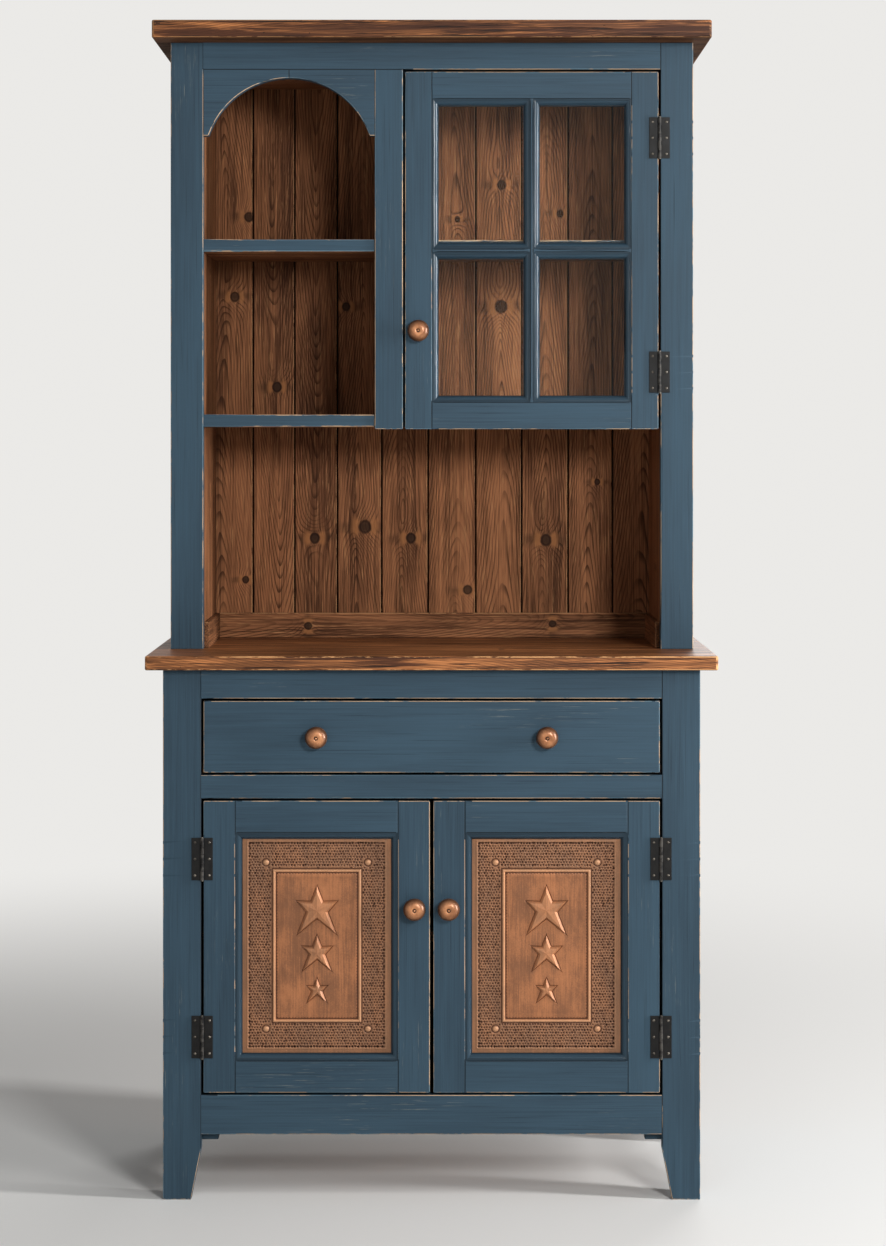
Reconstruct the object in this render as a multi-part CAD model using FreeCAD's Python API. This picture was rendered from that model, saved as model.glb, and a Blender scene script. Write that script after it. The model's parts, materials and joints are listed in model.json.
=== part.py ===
"""Step back cupboard: a base with one drawer and two doors with embossed copper panels, and on its
counter a shallower hutch with two open shelves under an arch, a four-pane glass door and an open bay.

Frame: +X to the right seen from the front, +Y to the back, +Z up, in millimetres. The origin is on the
floor, under the middle of the overall box. Every sub-part is written to parts/NODE.step.
"""

import FreeCAD
import Part
import math
import os
from FreeCAD import Vector

# ---------------------------------------------------------------- driving dimensions, mm
# Carcass
BODY_W = 915.0            # over the sides, of base and hutch alike
BASE_D = 420.0            # base, from its face frame to its back
HUTCH_D = 290.0           # hutch, from its face frame to its back
BASE_H = 903.0            # floor to the underside of the counter
HUTCH_H = 1062.0          # counter surface to the underside of the crown board
FRAME_T = 22.0            # face frames, doors and drawer front
SIDE_T = 20.0             # side panels
PANEL_T = 18.0            # inner boards of the base and the hutch's ceiling
COUNTER_T = 24.0
COUNTER_SIDE_OVER = 28.5
COUNTER_FRONT_OVER = 25.0
CROWN_T = 31.0
CROWN_SIDE_OVER = 27.0
CROWN_FRONT_OVER = 60.0
TOP_EDGE_R = 2.5          # eased edges of counter and crown
TOP_CORNER_R = 5.0        # their front corners, seen from above
SAME_PLACE = 0.01         # two places nearer than this are one

# Base face frame
LEG_W = 65.0
FOOT_W = 48.0             # a leg's width at the floor
FOOT_TAPER_H = 86.0
KICK_H = 111.0            # floor to the bottom rail
BOTTOM_RAIL_H = 67.0
MIDDLE_RAIL_H = 40.0
BASE_TOP_RAIL_H = 50.0
DRAWER_OPENING_H = 130.0
TENON_L = 30.0
TENON_T = 8.0
TENON_SHOULDER = 8.0
BLOCK_W = 28.0            # corner blocks behind the bottom rail, inside the legs
BLOCK_D = 30.0
BLOCK_DROP = 14.0         # they hang this far below the rail

# Hutch
HUTCH_STILE_W = 57.0
HUTCH_TOP_RAIL_H = 47.0
MULLION_W = 49.0
MULLION_X = -75.5         # its centre, left of the middle
LINING_T = 10.0
BATTEN_W = 40.0
DADO = 4.0                # shelf ends are let in this far
SHELF_T = 22.0
SHELF_SETBACK = 4.0       # shelf front behind the face frame
OPEN_BAY_H = 389.0        # counter to the bottom board
LOWER_SHELF_RISE = 285.0  # bottom board to the shelf above it
DOOR_DROP = 4.0           # glass door and mullion hang below the bottom board
PARTITION_T = 20.0
SHELF_DOOR_CLEAR = 3.0    # shelf front behind the glass door
BOARD_DOOR_CLEAR = 1.0    # bottom board's front edge, the glass door's stop
GALLERY_H = 46.0
GALLERY_T = 8.0
ARCH_SPAN = 282.0
ARCH_RISE = 101.0
ARCH_CROWN = 15.0         # wood left above the arch

# Back boards, tongued and grooved
BACK_T = 12.0
BACK_INSET = 6.0
BACK_RABBET = 8.0
BOARD_GAP = 2.4
BOARD_CHAMFER = 1.2
TONGUE_L = 6.0
TONGUE_T = 4.0
TONGUE_PLAY = 0.2
# Widths of the hutch's inner back boards; the two outer boards share the rest
HUTCH_INNER_BOARDS = (77.0, 79.0, 82.0, 86.0, 88.0, 85.0, 86.0, 82.0)
BASE_BOARD_COUNT = 8

# Doors
REVEAL = 4.0              # gap round an inset door or drawer front
PAIR_GAP = 6.0            # between the base doors
DOOR_FLAT = 54.0          # flat width of the base doors' stiles and rails
GLASS_DOOR_FLAT = 47.0
MUNTIN_FLAT = 5.0
QUIRK = 1.6               # moulded inner edge of a door frame: a small step down from the face,
QUIRK_W = 2.4
OVOLO_W = 8.4             # a round that starts level with the step's foot,
OVOLO_D = 6.4
LIP_W = 1.2               # and a narrow lip
PANEL_DEPTH = 10.0        # face to the ledge that a panel lies against
RABBET_W = 9.0
PANEL_PLAY = 1.0
GLASS_T = 3.0
COPPER_T = 1.2
BACKING_T = 4.0
CATCH_W = 40.0
CATCH_D = 15.0
CATCH_H = 38.0
CATCH_GAP = 0.3
STRIKE_W = 34.0
STRIKE_H = 13.0
STRIKE_T = 1.2
STRIKE_DOWN = 3.0         # strike's top edge below the door's top edge
CATCH_FROM_EDGE = 34.0    # door's free edge to the catch's centre

# Embossing of the copper sheets
BEAD_FRAME_W = 152.0
BEAD_FRAME_H = 262.0
BEAD_W = 6.0
EMBOSS_H = 2.2
BOSS_R = 4.5
BOSS_X = 87.0
BOSS_Z = 142.0
# Half width of each star over its arms and the height of its middle above the panel's centre
STARS = ((35.5, 60.0), (26.5, -13.0), (18.0, -76.5))
# Right half of a star's outline from its top tip down, over its half width: tips and inner corners in turn
STAR_HALF = ((0.0, 1.2), (0.3, 0.44), (1.0, 0.46), (0.53, -0.08), (0.95, -1.16), (0.0, -0.4))
STAR_RISE = 0.11          # height of the middle over the half width

# Drawer
DRAWER_SIDE_T = 13.0
DRAWER_SIDE_H = 118.0
DRAWER_BACK_H = 96.0
DRAWER_BACK_CLEAR = 20.0
DRAWER_BOTTOM_T = 6.0
DRAWER_BOTTOM_UP = 10.0
GROOVE = 5.0
TAIL_COUNT = 3
TAIL_L = 14.0
TAIL_W = 20.0
TAIL_FLARE = 3.0
TAIL_MARGIN = 25.0
RUN_CLEAR = 0.3           # drawer side above its runner
GUIDE_CLEAR = 1.0
GUIDE_H = 16.0
RUNNER_T = 18.0
RUNNER_LIP = 4.0          # runner reaches this far inside the drawer side

# Base interior
BASE_SHELF_Z = 250.0      # floor board to the shelf
BASE_SHELF_BACKSET = 60.0
CLEAT = 18.0

# Hinges: surface butt hinges, one leaf on the frame and one on the door
HINGE_H = 72.0
LEAF_W = 18.0
LEAF_T = 1.6
LEAF_START = 3.6          # leaf's inner edge from the pin's axis
BARREL_R = 3.0
BARREL_LIFT = 0.3         # barrel in front of the face
PIN_R = 1.5
PIN_CLEAR = 0.05
PIN_TIP_R = 2.3
PIN_TIP_H = 1.4
KNUCKLES = 5
KNUCKLE_GAP = 0.3
# A door's lower end to its lower hinge's middle, and its upper end to its upper hinge's middle
DOOR_HINGE_INSETS = (95.0, 99.0)
GLASS_HINGE_INSETS = (100.0, 116.0)
SCREW_FROM_AXIS = 12.0
SCREW_PITCH = 28.0
SCREW_R = 1.3
SCREW_L = 12.0
SCREW_HEAD_R = 2.4
SCREW_HEAD_H = 1.2
SCREW_PLAY = 0.1

# Knobs
KNOB_R = 19.0
KNOB_PROJECTION = 30.0
KNOB_FOOT_R = 10.0
KNOB_FOOT_H = 1.5
KNOB_WAIST_R = 7.5
KNOB_NECK_R = 11.5        # where the waist's curve meets the head's
KNOB_NECK_OUT = 10.0      # distances from the face end in OUT
KNOB_WIDEST = 17.0        # face to the head's widest ring
KNOB_EYE_R = 3.2          # sunk ring round the pin in its middle
KNOB_EYE_SINK = 1.0       # the ring's rim behind the pin's end
KNOB_EYE_DEPTH = 1.0
KNOB_PIN_R = 1.7
KNOB_PIN_ROUND = 0.7      # chamfer at the pin's end
KNOB_SCREW_R = 2.0
KNOB_SCREW_HEAD_R = 4.5
KNOB_SCREW_HEAD_H = 2.2
KNOB_SCREW_DEPTH = 12.0
DOOR_KNOB_EDGE = 26.0     # door's free edge to the knob
DOOR_KNOB_UP = 66.0       # above the door's middle
GLASS_KNOB_EDGE = 23.0
GLASS_KNOB_UP = 172.0     # above the door's lower edge
DRAWER_KNOB_X = 196.0     # each side of the middle

# ---------------------------------------------------------------- places that follow from the sizes
HALF_W = BODY_W / 2
STICK_W = QUIRK_W + OVOLO_W + LIP_W
OVOLO_R = (OVOLO_W ** 2 + OVOLO_D ** 2) / (2 * OVOLO_D)
FRONT_REACH = max(KNOB_PROJECTION, COUNTER_FRONT_OVER)
BACK_Y = (BASE_D + FRONT_REACH) / 2
FACE_Y = BACK_Y - BASE_D
HUTCH_FACE_Y = BACK_Y - HUTCH_D
FRAME_BACK_Y = FACE_Y + FRAME_T
HUTCH_FRAME_BACK_Y = HUTCH_FACE_Y + FRAME_T
BOARDS_Y = BACK_Y - BACK_INSET - BACK_T
SIDE_IN = HALF_W - SIDE_T
LEG_IN = HALF_W - LEG_W
FLOOR_Z = KICK_H + BOTTOM_RAIL_H
DRAWER_TOP_Z = BASE_H - BASE_TOP_RAIL_H
DRAWER_SILL_Z = DRAWER_TOP_Z - DRAWER_OPENING_H
DOOR_HEAD_Z = DRAWER_SILL_Z - MIDDLE_RAIL_H
COUNTER_Z = BASE_H + COUNTER_T
CROWN_Z = COUNTER_Z + HUTCH_H
CEILING_Z = CROWN_Z - HUTCH_TOP_RAIL_H
STILE_IN = HALF_W - HUTCH_STILE_W
MULLION_L = MULLION_X - MULLION_W / 2
MULLION_R = MULLION_X + MULLION_W / 2
PARTITION_L = MULLION_X - PARTITION_T / 2
PARTITION_R = MULLION_X + PARTITION_T / 2
BOTTOM_BOARD_Z = COUNTER_Z + OPEN_BAY_H
BOTTOM_BOARD_TOP = BOTTOM_BOARD_Z + SHELF_T
SHELF_Z = BOTTOM_BOARD_TOP + LOWER_SHELF_RISE
HUTCH_DOOR_Z = BOTTOM_BOARD_Z - DOOR_DROP


# ---------------------------------------------------------------- helpers
def box(x0, x1, y0, y1, z0, z1):
    return Part.makeBox(x1 - x0, y1 - y0, z1 - z0, Vector(x0, y0, z0))


def outline(points):
    return Part.Face(Part.makePolygon(points + points[:1]))


def prism_along_y(points, y0, y1):
    """Solid with the given (x, z) outline between two depths."""
    return outline([Vector(x, y0, z) for x, z in points]).extrude(Vector(0, y1 - y0, 0))


def prism_along_x(points, x0, x1):
    """Solid with the given (y, z) outline between two widths."""
    return outline([Vector(x0, y, z) for y, z in points]).extrude(Vector(x1 - x0, 0, 0))


def rod(x, z, y0, y1, radius):
    """Round bar along Y."""
    return Part.makeCylinder(radius, y1 - y0, Vector(x, y0, z), Vector(0, 1, 0))


def mirrored(shape):
    return shape.mirror(Vector(0, 0, 0), Vector(1, 0, 0))


def pair(shape):
    """A piece of the left side and its twin of the right side."""
    return [shape, mirrored(shape)]


def spread(first, last, count):
    return [first + (last - first) * i / (count - 1) for i in range(count)]


def tenon(x_shoulder, outward, face_y, z0, z1):
    """Tenon on a rail's end: outward is -1 at its left end and 1 at its right end."""
    cheek = face_y + (FRAME_T - TENON_T) / 2
    ends = sorted((x_shoulder, x_shoulder + outward * TENON_L))
    return box(ends[0], ends[1], cheek, cheek + TENON_T, z0 + TENON_SHOULDER, z1 - TENON_SHOULDER)


def rail(x0, x1, face_y, z0, z1):
    """A rail and its two tenons, as (rail, [tenons])."""
    tenons = [tenon(x0, -1, face_y, z0, z1), tenon(x1, 1, face_y, z0, z1)]
    bar = box(x0, x1, face_y, face_y + FRAME_T, z0, z1)
    return bar.fuse(tenons), tenons


NODES = {}


def add(name, shapes):
    """Files the solids of a node under its name."""
    shapes = shapes if isinstance(shapes, list) else [shapes]
    NODES.setdefault(name, []).extend(s for shape in shapes for s in shape.removeSplitter().Solids)


# ---------------------------------------------------------------- hardware
def hinge(axis_x, face_y, z_mid, door_dir):
    """One butt hinge. door_dir is -1 where the door lies to the left of the pin and 1 to the right.
    Gives frame leaf, door leaf, pin, and for each leaf its screws and the screw holes in the wood."""
    axis_y = face_y - BARREL_R - BARREL_LIFT
    z0 = z_mid - HINGE_H / 2
    step = HINGE_H / KNUCKLES
    made = {}
    for name, way, first in (("frame", -door_dir, 0), ("door", door_dir, 1)):
        near, far = sorted((axis_x + way * LEAF_START, axis_x + way * LEAF_W))
        leaf = box(near, far, face_y - LEAF_T, face_y, z0, z0 + HINGE_H)
        for i in range(first, KNUCKLES, 2):
            low = z0 + i * step + (KNUCKLE_GAP / 2 if i else 0)
            high = z0 + (i + 1) * step - (KNUCKLE_GAP / 2 if i < KNUCKLES - 1 else 0)
            inner, outer = sorted((axis_x, axis_x + way * LEAF_START))
            web = box(inner, outer, face_y - LEAF_T, face_y, low, high)
            knuckle = Part.makeCylinder(BARREL_R, high - low, Vector(axis_x, axis_y, low))
            leaf = leaf.fuse([web, knuckle])
        bore = Part.makeCylinder(PIN_R + PIN_CLEAR, HINGE_H, Vector(axis_x, axis_y, z0))
        x_screw = axis_x + way * SCREW_FROM_AXIS
        heights = [z_mid - SCREW_PITCH, z_mid, z_mid + SCREW_PITCH]
        play = SCREW_R + SCREW_PLAY
        holes = [rod(x_screw, z, face_y - LEAF_T, face_y + SCREW_L, play) for z in heights]
        made[name] = leaf.cut([bore] + holes)
        made[name + "_screws"] = [leaf_screw(x_screw, z, face_y) for z in heights]
        made[name + "_holes"] = holes
    shaft = Part.makeCylinder(PIN_R, HINGE_H, Vector(axis_x, axis_y, z0))
    tips = [
        Part.makeCylinder(PIN_TIP_R, PIN_TIP_H, Vector(axis_x, axis_y, z))
        for z in (z0 - PIN_TIP_H, z0 + HINGE_H)
    ]
    made["pin"] = shaft.fuse(tips)
    return made


def dome(x, z, seat_y, radius, height):
    """Cap of a ball that stands on an upright seat and swells to the front."""
    ball_r = (radius**2 + height**2) / (2 * height)
    front = Vector(x, seat_y - height, z)
    edges = [
        Part.Arc(
            front,
            Vector(x + radius / 2, seat_y - height + ball_r - math.sqrt(ball_r**2 - radius**2 / 4), z),
            Vector(x + radius, seat_y, z),
        ),
        Part.LineSegment(Vector(x + radius, seat_y, z), Vector(x, seat_y, z)),
        Part.LineSegment(Vector(x, seat_y, z), front),
    ]
    section = Part.Face(Part.Wire([e.toShape() for e in edges]))
    return turned_about_y(section, x, seat_y, z)


def turned_about_y(section, x, y, z):
    turned = section.revolve(Vector(x, y, z), Vector(0, 1, 0), 360)
    if turned.Volume < 0:
        turned.reverse()
    return turned


def leaf_screw(x, z, face_y):
    """Dome-headed screw on a hinge leaf."""
    seat = face_y - LEAF_T
    return dome(x, z, seat, SCREW_HEAD_R, SCREW_HEAD_H).fuse(rod(x, z, seat, face_y + SCREW_L, SCREW_R))


def bulge(wide, end):
    """Middle point of an arc from the knob's widest ring, where it runs straight out, to another ring.
    Points are (radius, distance from the face)."""
    rise = end[1] - wide[1]
    centre = (wide[0] ** 2 - end[0] ** 2 - rise**2) / (2 * (wide[0] - end[0]))
    half_turn = math.atan2(rise, end[0] - centre) / 2
    radius = wide[0] - centre
    return centre + radius * math.cos(half_turn), wide[1] + radius * math.sin(half_turn)


def knob(x, z, face_y):
    """Turned knob with a sunk eye and a pin in its middle, bored for its screw."""
    eye_out = KNOB_PROJECTION - KNOB_EYE_SINK
    eye_floor = eye_out - KNOB_EYE_DEPTH
    foot = (KNOB_FOOT_R, KNOB_FOOT_H)
    waist = (KNOB_WAIST_R, (KNOB_FOOT_H + KNOB_NECK_OUT) / 2)
    neck = (KNOB_NECK_R, KNOB_NECK_OUT)
    wide = (KNOB_R, KNOB_WIDEST)
    eye = (KNOB_EYE_R, eye_out)
    steps = [
        ((0, 0), (KNOB_FOOT_R, 0)),
        ((KNOB_FOOT_R, 0), foot),
        (foot, waist, neck),
        (neck, bulge(wide, neck), wide),
        (wide, bulge(wide, eye), eye),
        (eye, (KNOB_EYE_R - KNOB_EYE_DEPTH, eye_floor)),
        ((KNOB_EYE_R - KNOB_EYE_DEPTH, eye_floor), (KNOB_PIN_R, eye_floor)),
        ((KNOB_PIN_R, eye_floor), (KNOB_PIN_R, KNOB_PROJECTION - KNOB_PIN_ROUND)),
        ((KNOB_PIN_R, KNOB_PROJECTION - KNOB_PIN_ROUND), (KNOB_PIN_R - KNOB_PIN_ROUND, KNOB_PROJECTION)),
        ((KNOB_PIN_R - KNOB_PIN_ROUND, KNOB_PROJECTION), (0, KNOB_PROJECTION)),
        ((0, KNOB_PROJECTION), (0, 0)),
    ]
    edges = []
    for step in steps:
        points = [Vector(x + r, face_y - out, z) for r, out in step]
        edges.append(Part.Arc(*points) if len(points) == 3 else Part.LineSegment(*points))
    section = Part.Face(Part.Wire([e.toShape() for e in edges]))
    turned = turned_about_y(section, x, face_y, z)
    return turned.cut(rod(x, z, face_y - KNOB_SCREW_DEPTH - 1, face_y, KNOB_SCREW_R + SCREW_PLAY))


def knob_screw(x, z, face_y):
    """Machine screw that holds a knob from behind, and its hole in the wood."""
    back = face_y + FRAME_T
    shank = rod(x, z, face_y - KNOB_SCREW_DEPTH, back, KNOB_SCREW_R)
    head = rod(x, z, back, back + KNOB_SCREW_HEAD_H, KNOB_SCREW_HEAD_R)
    return shank.fuse(head), rod(x, z, face_y, back, KNOB_SCREW_R + SCREW_PLAY)


def catch_body(x_mid, face_y, head_z, seat_z):
    """Magnetic catch behind a door's top edge: it is fixed to the frame above head_z, up to seat_z."""
    back = face_y + FRAME_T
    x0, x1 = x_mid - CATCH_W / 2, x_mid + CATCH_W / 2
    low = box(x0, x1, back + CATCH_GAP, back + CATCH_D, seat_z - CATCH_H, head_z)
    return low.fuse(box(x0, x1, back, back + CATCH_D, head_z, seat_z)) if seat_z > head_z else low


def strike_plate(x_mid, face_y, door_top):
    """Steel plate let into the back of a door's top rail."""
    back = face_y + FRAME_T
    top = door_top - STRIKE_DOWN
    return box(x_mid - STRIKE_W / 2, x_mid + STRIKE_W / 2, back - STRIKE_T, back, top - STRIKE_H, top)


# ---------------------------------------------------------------- framed doors
def moulded_side(edge, inward, place):
    """Edges of the moulding on one side of an opening, from in front of the face to behind the back.
    place(a, depth) gives a point; inward is 1 or -1."""
    def at(k, v):
        return place(edge + inward * k, v)

    half_turn = math.atan2(OVOLO_W, OVOLO_R - OVOLO_D) / 2
    mid_k = QUIRK_W + OVOLO_R * math.sin(half_turn)
    mid_v = QUIRK + OVOLO_R * (1 - math.cos(half_turn))
    lip_k = QUIRK_W + OVOLO_W
    lip_v = QUIRK + OVOLO_D
    return [
        Part.LineSegment(at(0, -1), at(0, QUIRK)),
        Part.LineSegment(at(0, QUIRK), at(QUIRK_W, QUIRK)),
        Part.Arc(at(QUIRK_W, QUIRK), at(mid_k, mid_v), at(lip_k, lip_v)),
        Part.LineSegment(at(lip_k, lip_v), at(STICK_W, lip_v)),
        Part.LineSegment(at(STICK_W, lip_v), at(STICK_W, FRAME_T + 1)),
    ]


def moulded_cutter(x0, x1, z0, z1, face_y):
    """What is cut from a slab for an opening with mitred mouldings; the box is the flat's inner edge."""
    def bar(a0, a1, place, length):
        near = moulded_side(a0, 1, place)
        far = moulded_side(a1, -1, place)
        back = Part.LineSegment(near[-1].EndPoint, far[-1].EndPoint)
        front = Part.LineSegment(far[0].StartPoint, near[0].StartPoint)
        edges = [e.toShape() for e in near + [back] + far + [front]]
        return Part.Face(Part.Wire(Part.__sortEdges__(edges))).extrude(length)

    upright = bar(x0, x1, lambda a, v: Vector(a, face_y + v, z0), Vector(0, 0, z1 - z0))
    level = bar(z0, z1, lambda a, v: Vector(x0, face_y + v, a), Vector(x1 - x0, 0, 0))
    return upright.common(level)


def door_frame(x0, x1, z0, z1, face_y, flat, bars=0.0):
    """Stiles and rails of a door, mitred at the mouldings. With bars, the flat width of a muntin,
    a cross of muntins makes four panes. Gives stiles, rails, muntins and the panes' visible boxes."""
    half = bars / 2
    xm, zm = (x0 + x1) / 2, (z0 + z1) / 2
    if bars:
        columns = [(x0 + flat, xm - half), (xm + half, x1 - flat)]
        rows = [(z0 + flat, zm - half), (zm + half, z1 - flat)]
    else:
        columns, rows = [(x0 + flat, x1 - flat)], [(z0 + flat, z1 - flat)]
    openings = [(a, b, c, d) for a, b in columns for c, d in rows]
    slab = box(x0, x1, face_y, face_y + FRAME_T, z0, z1)
    slab = slab.cut([moulded_cutter(a, b, c, d, face_y) for a, b, c, d in openings])
    panes = [(a + STICK_W, b - STICK_W, c + STICK_W, d - STICK_W) for a, b, c, d in openings]
    ledge = face_y + PANEL_DEPTH
    slab = slab.cut([
        box(a - RABBET_W, b + RABBET_W, ledge, face_y + FRAME_T, c - RABBET_W, d + RABBET_W)
        for a, b, c, d in panes
    ])

    def part(points):
        return slab.common(prism_along_y(points, face_y, face_y + FRAME_T))

    k = STICK_W
    notch_z = [(x0 + flat + k, zm - half - k), (x0 + flat, zm - half),
               (x0 + flat, zm + half), (x0 + flat + k, zm + half + k)] if bars else []
    stile = [(x0, z0), (x0 + flat, z0), (x0 + flat, z0 + flat), (x0 + flat + k, z0 + flat + k)]
    stile += notch_z + [(x0 + flat + k, z1 - flat - k), (x0 + flat, z1 - flat), (x0 + flat, z1), (x0, z1)]
    notch_x = [(xm + half + k, z0 + flat + k), (xm + half, z0 + flat),
               (xm - half, z0 + flat), (xm - half - k, z0 + flat + k)] if bars else []
    sill = [(x0 + flat, z0), (x1 - flat, z0), (x1 - flat, z0 + flat), (x1 - flat - k, z0 + flat + k)]
    sill += notch_x + [(x0 + flat + k, z0 + flat + k), (x0 + flat, z0 + flat)]
    stiles = [part(stile), part([(x0 + x1 - x, z) for x, z in stile])]
    rails = [part(sill), part([(x, z0 + z1 - z) for x, z in sill])]
    tenons = []
    for i, (low, high) in enumerate(((z0, z0 + flat), (z1 - flat, z1))):
        own = [tenon(x0 + flat, -1, face_y, low, high), tenon(x1 - flat, 1, face_y, low, high)]
        rails[i] = rails[i].fuse(own)
        tenons += own
    stiles = [s.cut(tenons) for s in stiles]
    muntins = []
    if bars:
        half_post = [(xm + half, z0 + flat), (xm + half + k, z0 + flat + k), (xm + half + k, zm - half - k),
                     (xm + half, zm - half), (xm + half, zm + half), (xm + half + k, zm + half + k),
                     (xm + half + k, z1 - flat - k), (xm + half, z1 - flat)]
        post = half_post + [(2 * xm - x, z) for x, z in reversed(half_post)]
        bar = [(x0 + flat, zm - half), (x0 + flat + k, zm - half - k), (xm - half - k, zm - half - k),
               (xm - half, zm - half), (xm - half, zm + half), (xm - half - k, zm + half + k),
               (x0 + flat + k, zm + half + k), (x0 + flat, zm + half)]
        muntins = [part(post), part(bar), part([(2 * xm - x, z) for x, z in bar])]
    return stiles, rails, muntins, panes


def pane_beads(pane, depth0, face_y):
    """Four beads that hold a pane or panel in its rabbet, from depth0 to the door's back."""
    x0, x1, z0, z1 = pane
    r = RABBET_W
    y0, y1 = face_y + depth0, face_y + FRAME_T
    return [
        box(x0 - r, x0, y0, y1, z0 - r, z1 + r),
        box(x1, x1 + r, y0, y1, z0 - r, z1 + r),
        box(x0, x1, y0, y1, z0 - r, z0),
        box(x0, x1, y0, y1, z1, z1 + r),
    ]


def pane_sheet(pane, depth0, depth1, face_y):
    """A sheet that fills a pane's rabbet with a little play."""
    x0, x1, z0, z1 = pane
    reach = RABBET_W - PANEL_PLAY
    return box(x0 - reach, x1 + reach, face_y + depth0, face_y + depth1, z0 - reach, z1 + reach)


def star(x, z, half_w, base_y):
    """Embossed five-pointed star with a ridge to each tip."""
    half = [(half_w * u, half_w * v) for u, v in STAR_HALF]
    around = half + [(-u, v) for u, v in reversed(half[1:-1])]
    rim = [Vector(x + u, base_y, z + v) for u, v in around]
    peak = Vector(x, base_y - half_w * STAR_RISE, z)
    slopes = [outline([a, b, peak]) for a, b in zip(rim, rim[1:] + rim[:1])]
    skin = Part.makeCompound(slopes + [outline(rim)])
    skin.sewShape()
    solid = Part.Solid(skin.Shells[0])
    if solid.Volume < 0:
        solid.reverse()
    return solid


def copper_sheet(pane, face_y):
    """Copper sheet with its embossed bead frame, corner bosses and three stars."""
    front = face_y + PANEL_DEPTH
    sheet = pane_sheet(pane, PANEL_DEPTH, PANEL_DEPTH + COPPER_T, face_y)
    xm, zm = (pane[0] + pane[1]) / 2, (pane[2] + pane[3]) / 2
    w, h = BEAD_FRAME_W / 2, BEAD_FRAME_H / 2
    inner = box(xm - w + BEAD_W, xm + w - BEAD_W, front - EMBOSS_H, front, zm - h + BEAD_W, zm + h - BEAD_W)
    frame = box(xm - w, xm + w, front - EMBOSS_H, front, zm - h, zm + h).cut(inner)
    raised = [frame]
    for dx in (-BOSS_X, BOSS_X):
        raised += [dome(xm + dx, zm + dz, front, BOSS_R, EMBOSS_H) for dz in (-BOSS_Z, BOSS_Z)]
    raised += [star(xm, zm + dz, half_w, front) for half_w, dz in STARS]
    return sheet.fuse(raised)


def hang(prefix, x0, x1, z0, z1, face_y, door_dir, insets, stiles, axis_gap):
    """Hinges of one door. Adds its leaves, pins and screws, and gives the holes for the frame's wood
    and the stiles with theirs cut. door_dir is -1 where the door lies to the left of its hinges."""
    axis_x = x1 + axis_gap / 2 if door_dir < 0 else x0 - axis_gap / 2
    frame_holes, door_holes, door_screws = [], [], []
    for z_mid in (z0 + insets[0], z1 - insets[1]):
        made = hinge(axis_x, face_y, z_mid, door_dir)
        add("hinge_frame_leaves", made["frame"])
        add("hinge_pins", made["pin"])
        add("frame_hinge_screws", made["frame_screws"])
        add(prefix + "_hinge_leaves", made["door"])
        door_screws += made["door_screws"]
        frame_holes += made["frame_holes"]
        door_holes += made["door_holes"]
    return frame_holes, [s.cut(door_holes) for s in stiles], door_screws


def dressed_door(prefix, x0, x1, z0, z1, face_y, door_dir, flat, bars, insets, knob_x, knob_z):
    """Frame, hinges, knob and strike plate of a door. Gives the screw holes in the cabinet's frame,
    the panes, and the x of its catch."""
    stiles, rails, muntins, panes = door_frame(x0, x1, z0, z1, face_y, flat, bars)
    holes, stiles, screws = hang(
        prefix, x0, x1, z0, z1, face_y, door_dir, insets, stiles, REVEAL
    )
    free_edge = x0 if door_dir < 0 else x1
    catch_x = free_edge - door_dir * CATCH_FROM_EDGE
    plate = strike_plate(catch_x, face_y, z1)
    screw, bore = knob_screw(knob_x, knob_z, face_y)
    stiles = [s.cut([bore, plate]) for s in stiles]
    rails = [r.cut(plate) for r in rails]
    add(prefix + "_stiles", stiles)
    add(prefix + "_rails", rails)
    add(prefix + "_knob", knob(knob_x, knob_z, face_y))
    add(prefix + "_fasteners", screws + [screw, plate])
    if muntins:
        add(prefix + "_muntins", muntins)
    return holes, panes, catch_x


def base_door(prefix, x0, x1, door_dir):
    """A base door: frame, copper sheet, its backing and beads. Gives holes in the leg and the catch's x."""
    z0, z1 = FLOOR_Z + REVEAL, DOOR_HEAD_Z - REVEAL
    knob_x = (x0 if door_dir < 0 else x1) - door_dir * DOOR_KNOB_EDGE
    knob_z = (z0 + z1) / 2 + DOOR_KNOB_UP
    holes, panes, catch_x = dressed_door(
        prefix, x0, x1, z0, z1, FACE_Y, door_dir, DOOR_FLAT, 0.0, DOOR_HINGE_INSETS, knob_x, knob_z
    )
    pane = panes[0]
    backing_at = PANEL_DEPTH + COPPER_T
    add(prefix + "_copper_panel", copper_sheet(pane, FACE_Y))
    add(prefix + "_backing", pane_sheet(pane, backing_at, backing_at + BACKING_T, FACE_Y))
    add(prefix + "_backing", pane_beads(pane, backing_at + BACKING_T, FACE_Y))
    return holes, catch_x


def glass_door():
    """The hutch's door: four panes held by beads. Gives holes in the stile and the catch's x."""
    x0, x1 = MULLION_R + REVEAL, STILE_IN - REVEAL
    z0, z1 = HUTCH_DOOR_Z, CEILING_Z - REVEAL
    holes, panes, catch_x = dressed_door(
        "glass_door", x0, x1, z0, z1, HUTCH_FACE_Y, -1, GLASS_DOOR_FLAT, MUNTIN_FLAT, GLASS_HINGE_INSETS,
        x0 + GLASS_KNOB_EDGE, z0 + GLASS_KNOB_UP
    )
    for pane in panes:
        add("glass_panes", pane_sheet(pane, PANEL_DEPTH, PANEL_DEPTH + GLASS_T, HUTCH_FACE_Y))
        add("glazing_beads", pane_beads(pane, PANEL_DEPTH + GLASS_T, HUTCH_FACE_Y))
    return holes, catch_x


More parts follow.
